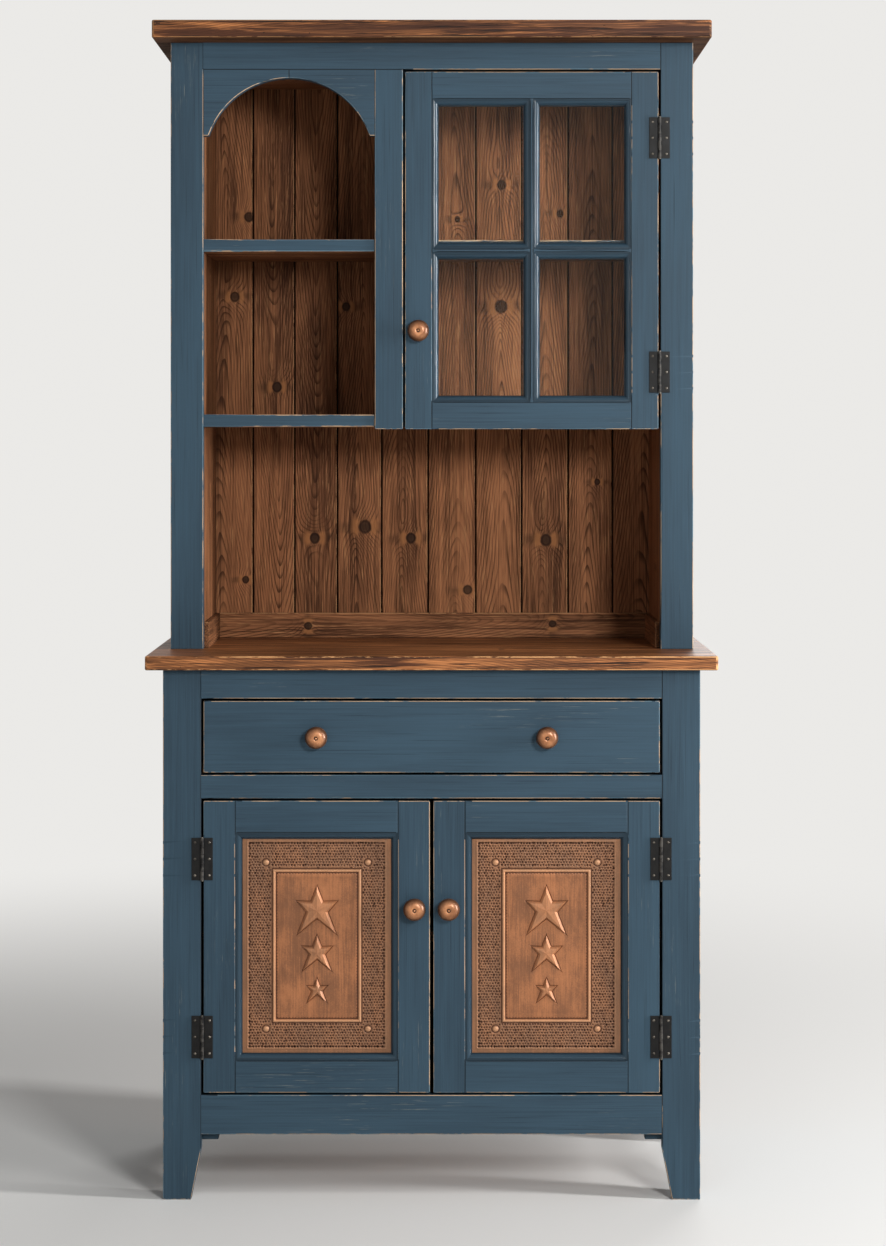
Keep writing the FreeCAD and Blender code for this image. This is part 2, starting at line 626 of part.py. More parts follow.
# ---------------------------------------------------------------- boarded backs
def tongued_board(x0, x1, z0, z1, first, last):
    """One upright back board between two joints, with chamfered front edges, a groove on its left
    side and a tongue on its right side."""
    y0, y1 = BOARDS_Y, BOARDS_Y + BACK_T
    left = x0 if first else x0 + BOARD_GAP / 2
    right = x1 if last else x1 - BOARD_GAP / 2
    c = BOARD_CHAMFER
    points = [(left, y0 + c), (left + c, y0), (right - c, y0), (right, y0 + c), (right, y1), (left, y1)]
    face = outline([Vector(x, y, z0) for x, y in points])
    board = face.extrude(Vector(0, 0, z1 - z0))
    mid = (y0 + y1) / 2
    if not last:
        board = board.fuse(box(right, right + TONGUE_L, mid - TONGUE_T / 2, mid + TONGUE_T / 2, z0, z1))
    if not first:
        deep = TONGUE_L - BOARD_GAP + TONGUE_PLAY
        thick = TONGUE_T / 2 + TONGUE_PLAY
        board = board.cut(box(left, left + deep, mid - thick, mid + thick, z0, z1))
    return board


def boarded_back(widths, z0, z1):
    x = -sum(widths) / 2
    boards = []
    for i, width in enumerate(widths):
        boards.append(tongued_board(x, x + width, z0, z1, i == 0, i == len(widths) - 1))
        x += width
    return boards


def back_rabbet(z0, z1):
    """What a left side panel loses for the back boards."""
    return box(-SIDE_IN - BACK_RABBET, -SIDE_IN, BOARDS_Y, BACK_Y, z0, z1)


# ---------------------------------------------------------------- base
def base_frame(left_holes, right_holes):
    """Legs and rails of the base's face frame."""
    levels = {
        "base_bottom_rail": (KICK_H, FLOOR_Z),
        "base_middle_rail": (DOOR_HEAD_Z, DRAWER_SILL_Z),
        "base_top_rail": (DRAWER_TOP_Z, BASE_H),
    }
    mortises = []
    for name, (z0, z1) in levels.items():
        bar, tenons = rail(-LEG_IN, LEG_IN, FACE_Y, z0, z1)
        add(name, bar)
        mortises += tenons
    profile = [(-HALF_W, 0), (-HALF_W + FOOT_W, 0), (-LEG_IN, FOOT_TAPER_H)]
    profile += [(-LEG_IN, BASE_H), (-HALF_W, BASE_H)]
    leg = prism_along_y(profile, FACE_Y, FRAME_BACK_Y)
    add("base_leg_left", leg.cut(mortises + left_holes))
    add("base_leg_right", mirrored(leg).cut(mortises + right_holes))


def base_carcass():
    """Sides with bracket feet, back, floor, shelf, cleats and corner blocks."""
    side = prism_along_x(
        [
            (FRAME_BACK_Y, 0), (FACE_Y + FOOT_W, 0), (FACE_Y + LEG_W, FOOT_TAPER_H), (FACE_Y + LEG_W, KICK_H),
            (BACK_Y - LEG_W, KICK_H), (BACK_Y - LEG_W, FOOT_TAPER_H), (BACK_Y - FOOT_W, 0), (BACK_Y, 0),
            (BACK_Y, BASE_H), (FRAME_BACK_Y, BASE_H),
        ],
        -HALF_W, -SIDE_IN,
    ).cut(back_rabbet(KICK_H, BASE_H))
    add("base_side_left", side)
    add("base_side_right", mirrored(side))
    width = 2 * (SIDE_IN + BACK_RABBET)
    widths = [width / BASE_BOARD_COUNT] * BASE_BOARD_COUNT
    add("base_back_boards", boarded_back(widths, KICK_H, BASE_H))
    add("base_floor_board", box(-SIDE_IN, SIDE_IN, FRAME_BACK_Y, BOARDS_Y, FLOOR_Z - PANEL_T, FLOOR_Z))
    shelf_z = FLOOR_Z + BASE_SHELF_Z
    shelf_y = FACE_Y + BASE_SHELF_BACKSET
    add("base_shelf", box(-SIDE_IN, SIDE_IN, shelf_y, BOARDS_Y, shelf_z, shelf_z + PANEL_T))
    for z, y in ((shelf_z, shelf_y), (FLOOR_Z - PANEL_T, FRAME_BACK_Y + BLOCK_D)):
        add("base_cleats", pair(box(-SIDE_IN, -SIDE_IN + CLEAT, y, BOARDS_Y, z - CLEAT, z)))
    block = box(-SIDE_IN, -LEG_IN + BLOCK_W, FRAME_BACK_Y, FRAME_BACK_Y + BLOCK_D,
                KICK_H - BLOCK_DROP, FLOOR_Z - PANEL_T)
    add("corner_blocks", pair(block))


def drawer_ways():
    """Runners under the drawer's sides, guides beside them and kickers above."""
    inner = LEG_IN - REVEAL - DRAWER_SIDE_T - RUNNER_LIP
    beside = LEG_IN - REVEAL + GUIDE_CLEAR
    z = DRAWER_SILL_Z
    runner = box(-SIDE_IN, -inner, FRAME_BACK_Y, BOARDS_Y, z - RUNNER_T, z)
    guide = box(-SIDE_IN, -beside, FRAME_BACK_Y, BOARDS_Y, z, z + GUIDE_H)
    kicker = box(-SIDE_IN, -inner, FRAME_BACK_Y, BOARDS_Y, DRAWER_TOP_Z, DRAWER_TOP_Z + RUNNER_T)
    for piece in (runner, guide, kicker):
        add("drawer_runners", pair(piece))


def rounded_board(x0, x1, y0, y1, z0, z1):
    """A board with rounded front corners, and its front and side edges eased top and bottom."""
    def is_front_corner(edge):
        upright = edge.BoundBox.ZLength > z1 - z0 - SAME_PLACE
        return upright and abs(edge.CenterOfMass.y - y0) < SAME_PLACE

    def is_eased(edge):
        middle = edge.CenterOfMass
        level = min(abs(middle.z - z0), abs(middle.z - z1)) < SAME_PLACE
        return level and abs(middle.y - y1) > SAME_PLACE

    board = box(x0, x1, y0, y1, z0, z1)
    board = board.makeFillet(TOP_CORNER_R, [e for e in board.Edges if is_front_corner(e)])
    return board.makeFillet(TOP_EDGE_R, [e for e in board.Edges if is_eased(e)])


def drawer():
    """Inset drawer: front with half-blind dovetails, sides, back let into the sides, grooved bottom."""
    x1 = LEG_IN - REVEAL
    z0, z1 = DRAWER_SILL_Z + REVEAL, DRAWER_TOP_Z - REVEAL
    low = DRAWER_SILL_Z + RUN_CLEAR
    end_y = BOARDS_Y - DRAWER_BACK_CLEAR
    inner = x1 - DRAWER_SIDE_T
    side = box(-x1, -inner, FRAME_BACK_Y, end_y, low, low + DRAWER_SIDE_H)
    tails = []
    for z in spread(z0 + TAIL_MARGIN, z1 - TAIL_MARGIN, TAIL_COUNT):
        wide, narrow = TAIL_W / 2, TAIL_W / 2 - TAIL_FLARE
        points = [(FRAME_BACK_Y, z - narrow), (FRAME_BACK_Y, z + narrow),
                  (FRAME_BACK_Y - TAIL_L, z + wide), (FRAME_BACK_Y - TAIL_L, z - wide)]
        tails.append(prism_along_x(points, -x1, -inner))
    floor_z = low + DRAWER_BOTTOM_UP
    let_in = inner + GROOVE
    back_z = floor_z + DRAWER_BOTTOM_T
    floor = box(-let_in, let_in, FRAME_BACK_Y - GROOVE, end_y, floor_z, back_z)
    back = box(-let_in, let_in, end_y - 2 * DRAWER_SIDE_T, end_y - DRAWER_SIDE_T,
               back_z, back_z + DRAWER_BACK_H)
    knobs = [(-DRAWER_KNOB_X, (z0 + z1) / 2), (DRAWER_KNOB_X, (z0 + z1) / 2)]
    screws = [knob_screw(x, z, FACE_Y) for x, z in knobs]
    front = box(-x1, x1, FACE_Y, FRAME_BACK_Y, z0, z1)
    sockets = [t for tail in tails for t in pair(tail)]
    add("drawer_front", front.cut(sockets + [floor] + [bore for _, bore in screws]))
    add("drawer_sides", pair(side.fuse(tails).cut([floor, back])))
    add("drawer_back", back)
    add("drawer_bottom", floor)
    add("drawer_knobs", [knob(x, z, FACE_Y) for x, z in knobs] + [screw for screw, _ in screws])


# ---------------------------------------------------------------- hutch
def hutch_frame(right_holes):
    """Stiles, mullion, top rail and the arch of the hutch's face frame."""
    bar, mortises = rail(-STILE_IN, STILE_IN, HUTCH_FACE_Y, CEILING_Z, CROWN_Z)
    add("hutch_top_rail", bar)
    stile = box(-HALF_W, -STILE_IN, HUTCH_FACE_Y, HUTCH_FRAME_BACK_Y, COUNTER_Z, CROWN_Z).cut(mortises)
    add("hutch_stiles", [stile, mirrored(stile).cut(right_holes)])
    add("hutch_mullion", box(MULLION_L, MULLION_R, HUTCH_FACE_Y, HUTCH_FRAME_BACK_Y, HUTCH_DOOR_Z, CEILING_Z))
    middle = (-STILE_IN + MULLION_L) / 2
    radius = (ARCH_SPAN**2 / 4 + ARCH_RISE**2) / (2 * ARCH_RISE)
    top = CEILING_Z - ARCH_CROWN
    board = box(-STILE_IN, MULLION_L, HUTCH_FACE_Y, HUTCH_FRAME_BACK_Y, top - ARCH_RISE, CEILING_Z)
    board = board.cut(rod(middle, top - radius, HUTCH_FACE_Y, HUTCH_FRAME_BACK_Y, radius))
    left = box(-STILE_IN, middle, HUTCH_FACE_Y, HUTCH_FRAME_BACK_Y, top - ARCH_RISE, CEILING_Z)
    add("arch_boards", [board.common(left), board.cut(left)])


def hutch_boards():
    """The left and right linings, the partition and the boards that are let into them."""
    y0, y1 = HUTCH_FRAME_BACK_Y, BOARDS_Y
    setback = HUTCH_FACE_Y + SHELF_SETBACK
    z = BOTTOM_BOARD_Z
    bottom = box(-STILE_IN - DADO, STILE_IN + DADO, y0 + BOARD_DOOR_CLEAR, y1, z, z + SHELF_T)
    bottom = bottom.fuse([
        box(-STILE_IN, MULLION_L, setback, y0 + BOARD_DOOR_CLEAR, z, z + SHELF_T),
        box(MULLION_L, MULLION_R, y0, y0 + BOARD_DOOR_CLEAR, z, z + SHELF_T),
    ])
    add("hutch_bottom_board", bottom)
    z = SHELF_Z
    open_shelf = box(-STILE_IN - DADO, PARTITION_L + DADO, y0, y1, z, z + SHELF_T)
    open_shelf = open_shelf.fuse(box(-STILE_IN, MULLION_L, setback, y0, z, z + SHELF_T))
    glazed = box(PARTITION_R - DADO, STILE_IN + DADO, y0 + SHELF_DOOR_CLEAR, y1, z, z + SHELF_T)
    add("hutch_shelves", [open_shelf, glazed])
    lets = [bottom, open_shelf, glazed]
    lining = box(-STILE_IN - LINING_T, -STILE_IN, y0, y1, COUNTER_Z, CEILING_Z)
    add("hutch_linings", [lining.cut(lets), mirrored(lining).cut(lets)])
    partition = box(PARTITION_L, PARTITION_R, y0, y1, BOTTOM_BOARD_TOP, CEILING_Z)
    add("hutch_partition", partition.cut(lets))
    add("hutch_ceiling_board", box(-SIDE_IN, SIDE_IN, y0, y1, CEILING_Z, CEILING_Z + PANEL_T))


def hutch_carcass():
    """Side panels, battens behind the linings, boarded back and the rails round the counter."""
    side = box(-HALF_W, -SIDE_IN, HUTCH_FRAME_BACK_Y, BACK_Y, COUNTER_Z, CROWN_Z)
    side = side.cut(back_rabbet(COUNTER_Z, CROWN_Z))
    add("hutch_side_left", side)
    add("hutch_side_right", mirrored(side))
    for y in (HUTCH_FRAME_BACK_Y, BOARDS_Y - BATTEN_W):
        batten = box(-SIDE_IN, -STILE_IN - LINING_T, y, y + BATTEN_W, COUNTER_Z, CEILING_Z)
        add("hutch_battens", pair(batten))
    rest = 2 * (SIDE_IN + BACK_RABBET) - sum(HUTCH_INNER_BOARDS)
    widths = [rest / 2] + list(HUTCH_INNER_BOARDS) + [rest / 2]
    add("hutch_back_boards", boarded_back(widths, COUNTER_Z, CROWN_Z))
    z0, z1 = COUNTER_Z, COUNTER_Z + GALLERY_H
    add("gallery_rails", box(-STILE_IN, STILE_IN, BOARDS_Y - GALLERY_T, BOARDS_Y, z0, z1))
    side_rail = box(-STILE_IN, -STILE_IN + GALLERY_T, HUTCH_FRAME_BACK_Y, BOARDS_Y - GALLERY_T, z0, z1)
    add("gallery_rails", pair(side_rail))


def main():
    doors_w = (2 * LEG_IN - 2 * REVEAL - PAIR_GAP) / 2
    left_x = -LEG_IN + REVEAL
    right_x = LEG_IN - REVEAL
    left_holes, left_catch = base_door("left_door", left_x, left_x + doors_w, 1)
    right_holes, right_catch = base_door("right_door", right_x - doors_w, right_x, -1)
    glass_holes, glass_catch = glass_door()
    base_frame(left_holes, right_holes)
    base_carcass()
    drawer_ways()
    drawer()
    for x in (left_catch, right_catch):
        add("door_catches", catch_body(x, FACE_Y, DOOR_HEAD_Z, DOOR_HEAD_Z + CATCH_H / 2))
    add("door_catches", catch_body(glass_catch, HUTCH_FACE_Y, CEILING_Z, CEILING_Z))
    over = HALF_W + COUNTER_SIDE_OVER
    counter_front = FACE_Y - COUNTER_FRONT_OVER
    add("counter_top", rounded_board(-over, over, counter_front, BACK_Y, BASE_H, COUNTER_Z))
    hutch_frame(glass_holes)
    hutch_boards()
    hutch_carcass()
    over = HALF_W + CROWN_SIDE_OVER
    crown_front = HUTCH_FACE_Y - CROWN_FRONT_OVER
    add("crown_board", rounded_board(-over, over, crown_front, BACK_Y, CROWN_Z, CROWN_Z + CROWN_T))

    os.makedirs("parts", exist_ok=True)
    for name, solids in sorted(NODES.items()):
        shape = solids[0] if len(solids) == 1 else Part.makeCompound(solids)
        if not shape.isValid() or min(s.Volume for s in solids) <= 0:
            print("bad solid in", name)
        shape.exportStep("parts/" + name + ".step")
    print(len(NODES), "nodes,", sum(len(s) for s in NODES.values()), "solids")


main()
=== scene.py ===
"""Looks of the step back cupboard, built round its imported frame, in metres.

Wooden pieces and fittings are the frame's own solids with eased edges. Every solid carries coordinates
along its grain, its knots and its edges, which its finish is drawn from. The embossed copper sheets and
the laths that the glass door closes in front of are modelled here, in places that the frame gives.
"""

import functools
import json
import math
import random

import bmesh
import bpy
import numpy as np
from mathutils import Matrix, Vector
from mathutils.geometry import delaunay_2d_cdt

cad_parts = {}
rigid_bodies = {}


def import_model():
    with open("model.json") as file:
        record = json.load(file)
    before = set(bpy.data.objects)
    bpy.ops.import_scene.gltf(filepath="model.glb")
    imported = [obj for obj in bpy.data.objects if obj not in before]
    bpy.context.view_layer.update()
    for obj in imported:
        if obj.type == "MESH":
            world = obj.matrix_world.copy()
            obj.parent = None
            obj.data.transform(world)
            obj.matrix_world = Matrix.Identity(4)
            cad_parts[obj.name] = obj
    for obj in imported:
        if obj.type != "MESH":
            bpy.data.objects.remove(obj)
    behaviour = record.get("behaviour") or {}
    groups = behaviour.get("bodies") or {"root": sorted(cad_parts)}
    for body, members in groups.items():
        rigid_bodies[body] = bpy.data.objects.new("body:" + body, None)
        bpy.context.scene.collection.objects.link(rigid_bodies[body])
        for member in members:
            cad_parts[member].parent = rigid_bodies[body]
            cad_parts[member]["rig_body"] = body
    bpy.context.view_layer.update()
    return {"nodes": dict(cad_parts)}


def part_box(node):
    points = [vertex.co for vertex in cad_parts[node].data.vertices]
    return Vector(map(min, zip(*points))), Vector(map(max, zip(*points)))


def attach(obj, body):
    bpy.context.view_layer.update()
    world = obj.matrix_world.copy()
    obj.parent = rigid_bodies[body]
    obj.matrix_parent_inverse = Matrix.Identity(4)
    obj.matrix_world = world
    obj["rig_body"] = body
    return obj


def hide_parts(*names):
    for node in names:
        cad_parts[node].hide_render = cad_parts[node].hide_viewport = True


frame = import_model()
nodes = frame["nodes"]

MM = 0.001
SEED = 7

# ---- eased edges
FREE_EASE = 1.3 * MM  # an edge that stands free
SHELF_EASE = 2.2 * MM  # the shelves' front edges
SEAM_EASE = 0.8 * MM  # an edge that lies against another piece
METAL_EASE = 0.3 * MM
SHORTEST_EASED = 5 * MM
SHORTEST_METAL = 2.5 * MM
SHARP = math.radians(50)
KNOB_SHARP = math.radians(35)
FLAT = math.radians(1)
LEAST_PART = 4 * MM  # shortest stretch that a solid is cut into at joints
SAME_PLACE = 0.05 * MM  # solids with their low corners this near are one
LOOK_ASIDE = 0.6 * MM  # how far beside an edge its neighbour is looked for
LOOK_ALONG = (0.1, 0.3, 0.5, 0.7, 0.9)

# ---- wear, dirt and painted light
STRIP_OF_SEAM = 0.8 * MM  # an eased face narrower than this is a seam's
OUTERMOST = 1.6 * MM  # wear reaches edges this near to the outside of their board
GAP_REACH = 5 * MM  # faces this near to a piece of another body are in the gap round it
# painted shade: how dark the faces in that gap, and the door stop, are coloured
GAP_SHADE = 0.93
KNUCKLE_H = 2.5 * MM  # how far a hinge's knuckles stand before its leaves, and their wear
KNUCKLE_WEAR = 0.8
TURNED = 0.5  # least share of its normal, where a face is turned down or to the front

# Doors' frames step down from their face to a moulding, and then to a dark lip round the panel; the step,
# the moulding and the lip are coloured darker as painted shade
MOULDED = ("stiles", "rails", "muntins")
FACE_DEPTH = 0.2 * MM
STEP_DEPTH = 1.9 * MM
# painted shade in the step below the frame's face
STEP_SHADE = 0.4
STEP_WEAR = 0.8  # over that of a free edge
LIP_DEPTH = 7.5 * MM
LIP_STRIP = 1.8 * MM  # faces of the lip are narrower than this
PANEL_DEPTH = 10.5 * MM
TO_FRONT = 0.05  # least share of a moulding's normal

# Boards rounded in CAD, the wear of their arrises, and the painted shade below them
ROUNDED = {"counter_top": 1.0, "crown_board": 0.35}
ROUNDING = 0.98  # the longest share of a normal in a rounding
SHADE_BELOW = 0.6
GROOVE_FLANK = (0.5, 0.9)  # of the normal, in the flanks of the grooves between back boards

# ---- knots
# Place across, height and half width of the back boards' knots, in millimetres
BACK_KNOTS = (
    (-340, 1706, 8), (-366, 1558, 8), (-288, 1391, 8), (-218, 1111, 9), (-125, 1132, 11),
    (-40, 1111, 9), (128, 1765, 8), (127, 1539, 11), (210, 1108, 10), (65, 1015, 8),
    (-346, 1034, 6), (236, 1712, 6), (-160, 1540, 7), (305, 1215, 5), (46, 1702, 5),
)
KNOT_PITCH = 0.42  # of the other boards, along the grain
KNOT_SIZE = (5, 10)
KNOT_ALONG = (0.25, 0.75)  # where in its pitch a knot is, and how far from the board's middle
KNOT_ASIDE = 0.28
LEAST_KNOTTY = 0.30  # shorter boards have no knots
NO_KNOT = (1.0, 1.0, 0.1 * MM)
GRAIN_SHIFT = 40  # how far apart, at most, two boards are in the same noise


def srgb(*values):
    """Colour from its 8-bit values."""
    shares = [value / 255 for value in values]
    return *[c / 12.92 if c <= 0.04045 else ((c + 0.055) / 1.055) ** 2.4 for c in shares], 1.0


# ---- shader nodes
class Nodes:
    """Short calls for the nodes of a material or a world."""

    def __init__(self, owner):
        owner.use_nodes = True
        self.tree = owner.node_tree

    def node(self, kind, inputs=(), **settings):
        made = self.tree.nodes.new("ShaderNode" + kind)
        for key, value in settings.items():
            setattr(made, key, value)
        for key, value in dict(inputs).items():
            self.put(made.inputs[key], value)
        return made

    def put(self, socket, value):
        if isinstance(value, bpy.types.NodeSocket):
            self.tree.links.new(value, socket)
        else:
            socket.default_value = value

    def mix_in(self, factor, shader, output):
        """Mixes another shader into the one that the output has."""
        socket = self.tree.nodes[output].inputs["Surface"]
        first = socket.links[0].from_socket
        self.put(socket, self.node("MixShader", {0: factor, 1: first, 2: shader}).outputs[0])

    def sight(self):
        """1 for rays that see the background, from the camera or by way of glass and metal."""
        rays = self.node("LightPath").outputs
        seen = self.math("MAXIMUM", rays["Is Camera Ray"], rays["Is Glossy Ray"])
        return self.math("MAXIMUM", seen, rays["Is Transmission Ray"])

    def number(self, name):
        return self.node("Attribute", attribute_name=name).outputs["Fac"]

    def vector(self, name):
        return self.node("Attribute", attribute_name=name).outputs["Vector"]

    def split(self, name):
        return self.node("SeparateXYZ", {0: self.vector(name)}).outputs[:3]

    def math(self, operation, *values):
        return self.node("Math", enumerate(values), operation=operation).outputs[0]

    add = functools.partialmethod(math, "ADD")
    minus = functools.partialmethod(math, "SUBTRACT")
    times = functools.partialmethod(math, "MULTIPLY")

    def over(self, a, b):
        """a over b, which may be nothing."""
        return self.math("DIVIDE", a, self.math("MAXIMUM", b, 1e-9))

    def square(self, value):
        return self.math("POWER", value, 2.0)

    def total(self, *parts):
        """Sum of values, each times its share."""
        shares = [self.times(value, share) for value, share in parts]
        return functools.reduce(self.add, shares)

    def noise(self, along, across, on=None, **inputs):
        """Noise on the grain, or on another vector, of one scale along it and another across it."""
        place = {0: self.vector("grain") if on is None else on, 1: (along, across, across)}
        scaled = self.node("VectorMath", place, operation="MULTIPLY").outputs[0]
        return self.node("TexNoise", {"Vector": scaled, "Scale": 1.0, **inputs}).outputs[0]

    def step(self, value, start, end, low=0.0, high=1.0):
        """Smooth step from low to high while the value goes from start to end."""
        inputs = enumerate((value, start, end, low, high))
        return self.node("MapRange", inputs, interpolation_type="SMOOTHSTEP").outputs[0]

    def mix(self, factor, a, b):
        return self.node("Mix", {0: factor, 6: a, 7: b}, data_type="RGBA").outputs[2]


class Finish(Nodes):
    """A material's surface, whose colour is laid on coat by coat in 8-bit values."""

    def __init__(self, name):
        self.material = bpy.data.materials.new(name)
        super().__init__(self.material)
        self.surface = self.tree.nodes["Principled BSDF"].inputs

    def set(self, **inputs):
        """Puts values into the surface's sockets; a name's underscores stand for spaces."""
        for key, value in inputs.items():
            self.put(self.surface[key.replace("_", " ")], value)

    def ground(self, factor, dark, light):
        self.set(Base_Color=self.mix(factor, srgb(*dark), srgb(*light)))

    def coat(self, mask, share, colour):
        """Lays a colour over the one so far, by a share of the mask."""
        self.cover(self.times(mask, share), srgb(*colour))

    def cover(self, factor, colour):
        so_far = self.surface["Base Color"].links[0].from_socket
        self.set(Base_Color=self.mix(factor, so_far, colour))

    def bump(self, height, distance, strength):
        inputs = {"Height": height, "Distance": distance, "Strength": strength}
        self.set(Normal=self.node("Bump", inputs).outputs[0])


def material(finish):
    """A new material that bears the name of the function that lays it out."""
    f = Finish(finish.__name__)
    finish(f)
    return f.material


def wear(f, amount):
    """Mask of the paint or stain that is gone from the eased edges, broken along the grain."""
    chips = f.noise(34, 150, Detail=5, Roughness=0.7)
    patches = f.noise(5, 14)
    level = f.total((chips, 0.55), (patches, 0.45))
    return f.times(f.step(level, 1.0 - amount, 1.06 - amount), f.number("edge"))


def blue_paint(f):
    """Brushed slate blue, rubbed along its edges, with fine scratches, dirt in the seams, and painted shade
    in the gaps, on the door stop and in the mouldings, steps and lips of the doors' frames.
    """
    strokes = f.noise(5, 330, Detail=4, Roughness=0.6)
    hairs = f.noise(11, 1300)
    clouds = f.noise(2.2, 10, Detail=3)
    shade = f.total((strokes, 0.35), (hairs, 0.2), (clouds, 0.45), (f.number("tone"), 0.03))
    f.ground(f.step(shade, 0.32, 0.68), (37, 56, 69), (51, 74, 89))
    pores = f.step(f.noise(6, 520), 0.62, 0.72)
    f.coat(pores, 0.5, (22, 36, 46))
    rare = f.step(f.noise(4, 13), 0.54, 0.64)
    scratches = f.times(f.step(f.noise(14, 620, Detail=3, Roughness=0.7), 0.62, 0.7), rare)
    f.coat(scratches, 0.55, (132, 134, 126))
    f.coat(f.number("edge"), f.step(clouds, 0.35, 0.6, 0.25, 0.8), (96, 120, 132))
    # Painted shade: the mouldings are coloured darker all round
    f.coat(f.number("moulding"), 0.24, (16, 28, 36))
    bare = wear(f, 0.54)
    wood = f.mix(f.noise(20, 300), srgb(128, 100, 78), srgb(206, 180, 150))
    f.cover(bare, wood)
    # Dark seams, and painted shade in the gaps, on the door stop and in the steps and lips of the mouldings
    f.coat(f.number("seam"), 0.85, (14, 22, 28))
    burnish = f.times(f.number("moulding"), -0.38)
    rough = f.add(f.step(f.add(shade, f.times(bare, 0.5)), 0.3, 1.1, 0.52, 0.85), burnish)
    f.set(Roughness=rough, Specular_IOR_Level=0.23)
    f.bump(f.total((strokes, 0.7), (hairs, 0.3), (pores, -0.5), (bare, -0.6)), 0.2 * MM, 0.8)


TAPER = 0.13  # of the cones of growth; larger than a tree's, for close arches
CORE_ROLL = 110 * MM  # how far the tree's core wanders, in depth and across the board
CORE_DRIFT = 50 * MM
CORE_TONE = 6 * MM  # how much deeper the core of a board of tone 1 lies
WOBBLE = 9 * MM
BULGE = 2.2  # how far a knot pushes the rings out, over its half width


def board_figure(f, ring):
    """Figure of a flat-sawn board: flow along the grain, rings, streaks, and nearness of the knot.

    The rings are where the board's face cuts the cones of yearly growth, ring apart, which a knot pushes
    out: long pointed arches up the middle of the board, and lines along its edges.
    """
    along, across, through = f.split("grain")
    from_end, from_middle, from_core = f.split("rel")
    knot_along, knot_across, size = f.split("knot")
    reach = f.add(f.square(f.times(knot_along, 0.9)), f.square(knot_across))
    aside = f.times(knot_across, f.math("MINIMUM", f.over(f.square(size), reach), 1.0))
    flow = f.node("CombineXYZ", {0: along, 1: f.minus(across, aside), 2: through}).outputs[0]
    near = f.math("SQRT", f.over(reach, f.square(size)))
    aside_share = f.over(f.square(knot_across), reach)
    level = f.math("DIVIDE", f.math("ABSOLUTE", knot_along), size)
    bulge = f.times(size, f.math("EXPONENT", f.times(f.square(near), -0.13)))
    roll = f.minus(f.noise(2.4, 3, flow, Detail=1), 0.5)
    depth = f.total((roll, CORE_ROLL), (f.number("tone"), CORE_TONE))
    drift = f.minus(f.noise(1.6, 0.1, flow, Detail=1), 0.5)
    middle = f.add(from_middle, f.times(drift, CORE_DRIFT))
    from_axis = f.math("SQRT", f.add(f.square(middle), f.square(depth)))
    from_root = f.times(from_end, f.math("SIGN", f.number("tone")))
    pushed = f.total((bulge, BULGE), (f.noise(5, 30, flow), WOBBLE), (from_root, TAPER))
    radius = f.add(f.add(from_axis, from_core), pushed)
    rings = f.math("FRACT", f.times(radius, 1 / ring))
    strength = f.noise(3, 40, flow)
    late = f.times(f.step(rings, 0.5, 0.9), f.step(rings, 1.0, 0.94))
    late = f.times(late, f.step(strength, 0.36, 0.62, 0.25, 1.0))
    streaks = f.noise(5, 480, flow, Detail=5, Roughness=0.7)
    return flow, late, streaks, (near, aside_share, level)


def knot_wood(f, knot, flow, dark, light):
    """Adds a knot's dark surround above and below, its light one at the sides, its dark heart and ring."""
    near, aside, level = knot
    uneven = f.add(near, f.times(f.noise(45, 60, flow, Detail=3), 0.6))
    smear = f.add(level, f.times(f.noise(50, 24, flow, Detail=3), 3.0))
    f.coat(f.times(f.step(smear, 3.2, 1.6), f.step(near, 6.0, 2.5)), 0.5, dark)
    halo = f.times(f.step(uneven, 1.2, 1.6), f.step(uneven, 3.0, 2.0))
    f.coat(f.times(halo, f.step(aside, 0.3, 0.8)), 0.6, light)
    f.coat(f.step(uneven, 1.45, 1.0), 0.75, dark)
    f.coat(f.times(f.step(uneven, 0.85, 1.1), f.step(uneven, 1.5, 1.2)), 0.6, (24, 14, 9))


def stained_boards(f):
    """Brown stained pine with knots."""
    flow, late, streaks, knot = board_figure(f, 4.8 * MM)
    blotches = f.noise(3, 20, flow, Detail=4, Roughness=0.6)
    shade = f.total((streaks, 0.6), (blotches, 0.4), (f.number("tone"), 0.03))
    f.ground(f.step(shade, 0.36, 0.64), (68, 42, 28), (166, 111, 75))
    f.coat(f.step(f.noise(16, 420, flow, Detail=3, Roughness=0.6), 0.58, 0.66), 0.5, (190, 138, 94))
    f.coat(late, 0.75, (46, 27, 17))
    pores = f.step(f.noise(14, 700, flow), 0.57, 0.68)
    f.coat(pores, 0.5, (40, 23, 14))
    knot_wood(f, knot, flow, (46, 31, 22), (176, 118, 74))
    # On the back boards this worn colour is also a painted highlight, on the groove flanks that face right
    f.coat(wear(f, 0.56), 0.8, (190, 142, 98))
    # Dark seams between pieces and boards, and painted shade in the back boards' grooves and under the
    # rounded boards
    f.coat(f.number("seam"), 0.92, (16, 9, 6))
    rough = f.add(f.step(shade, 0.2, 0.8, 0.7, 0.5), f.times(f.number("seam"), 0.25))
    f.set(Roughness=rough, Specular_IOR_Level=0.06)
    height = f.total((streaks, 0.6), (late, -0.5), (pores, -0.5))
    f.bump(f.add(height, f.step(knot[0], 1.2, 0.9, 0.0, 0.4)), 0.35 * MM, 0.8)


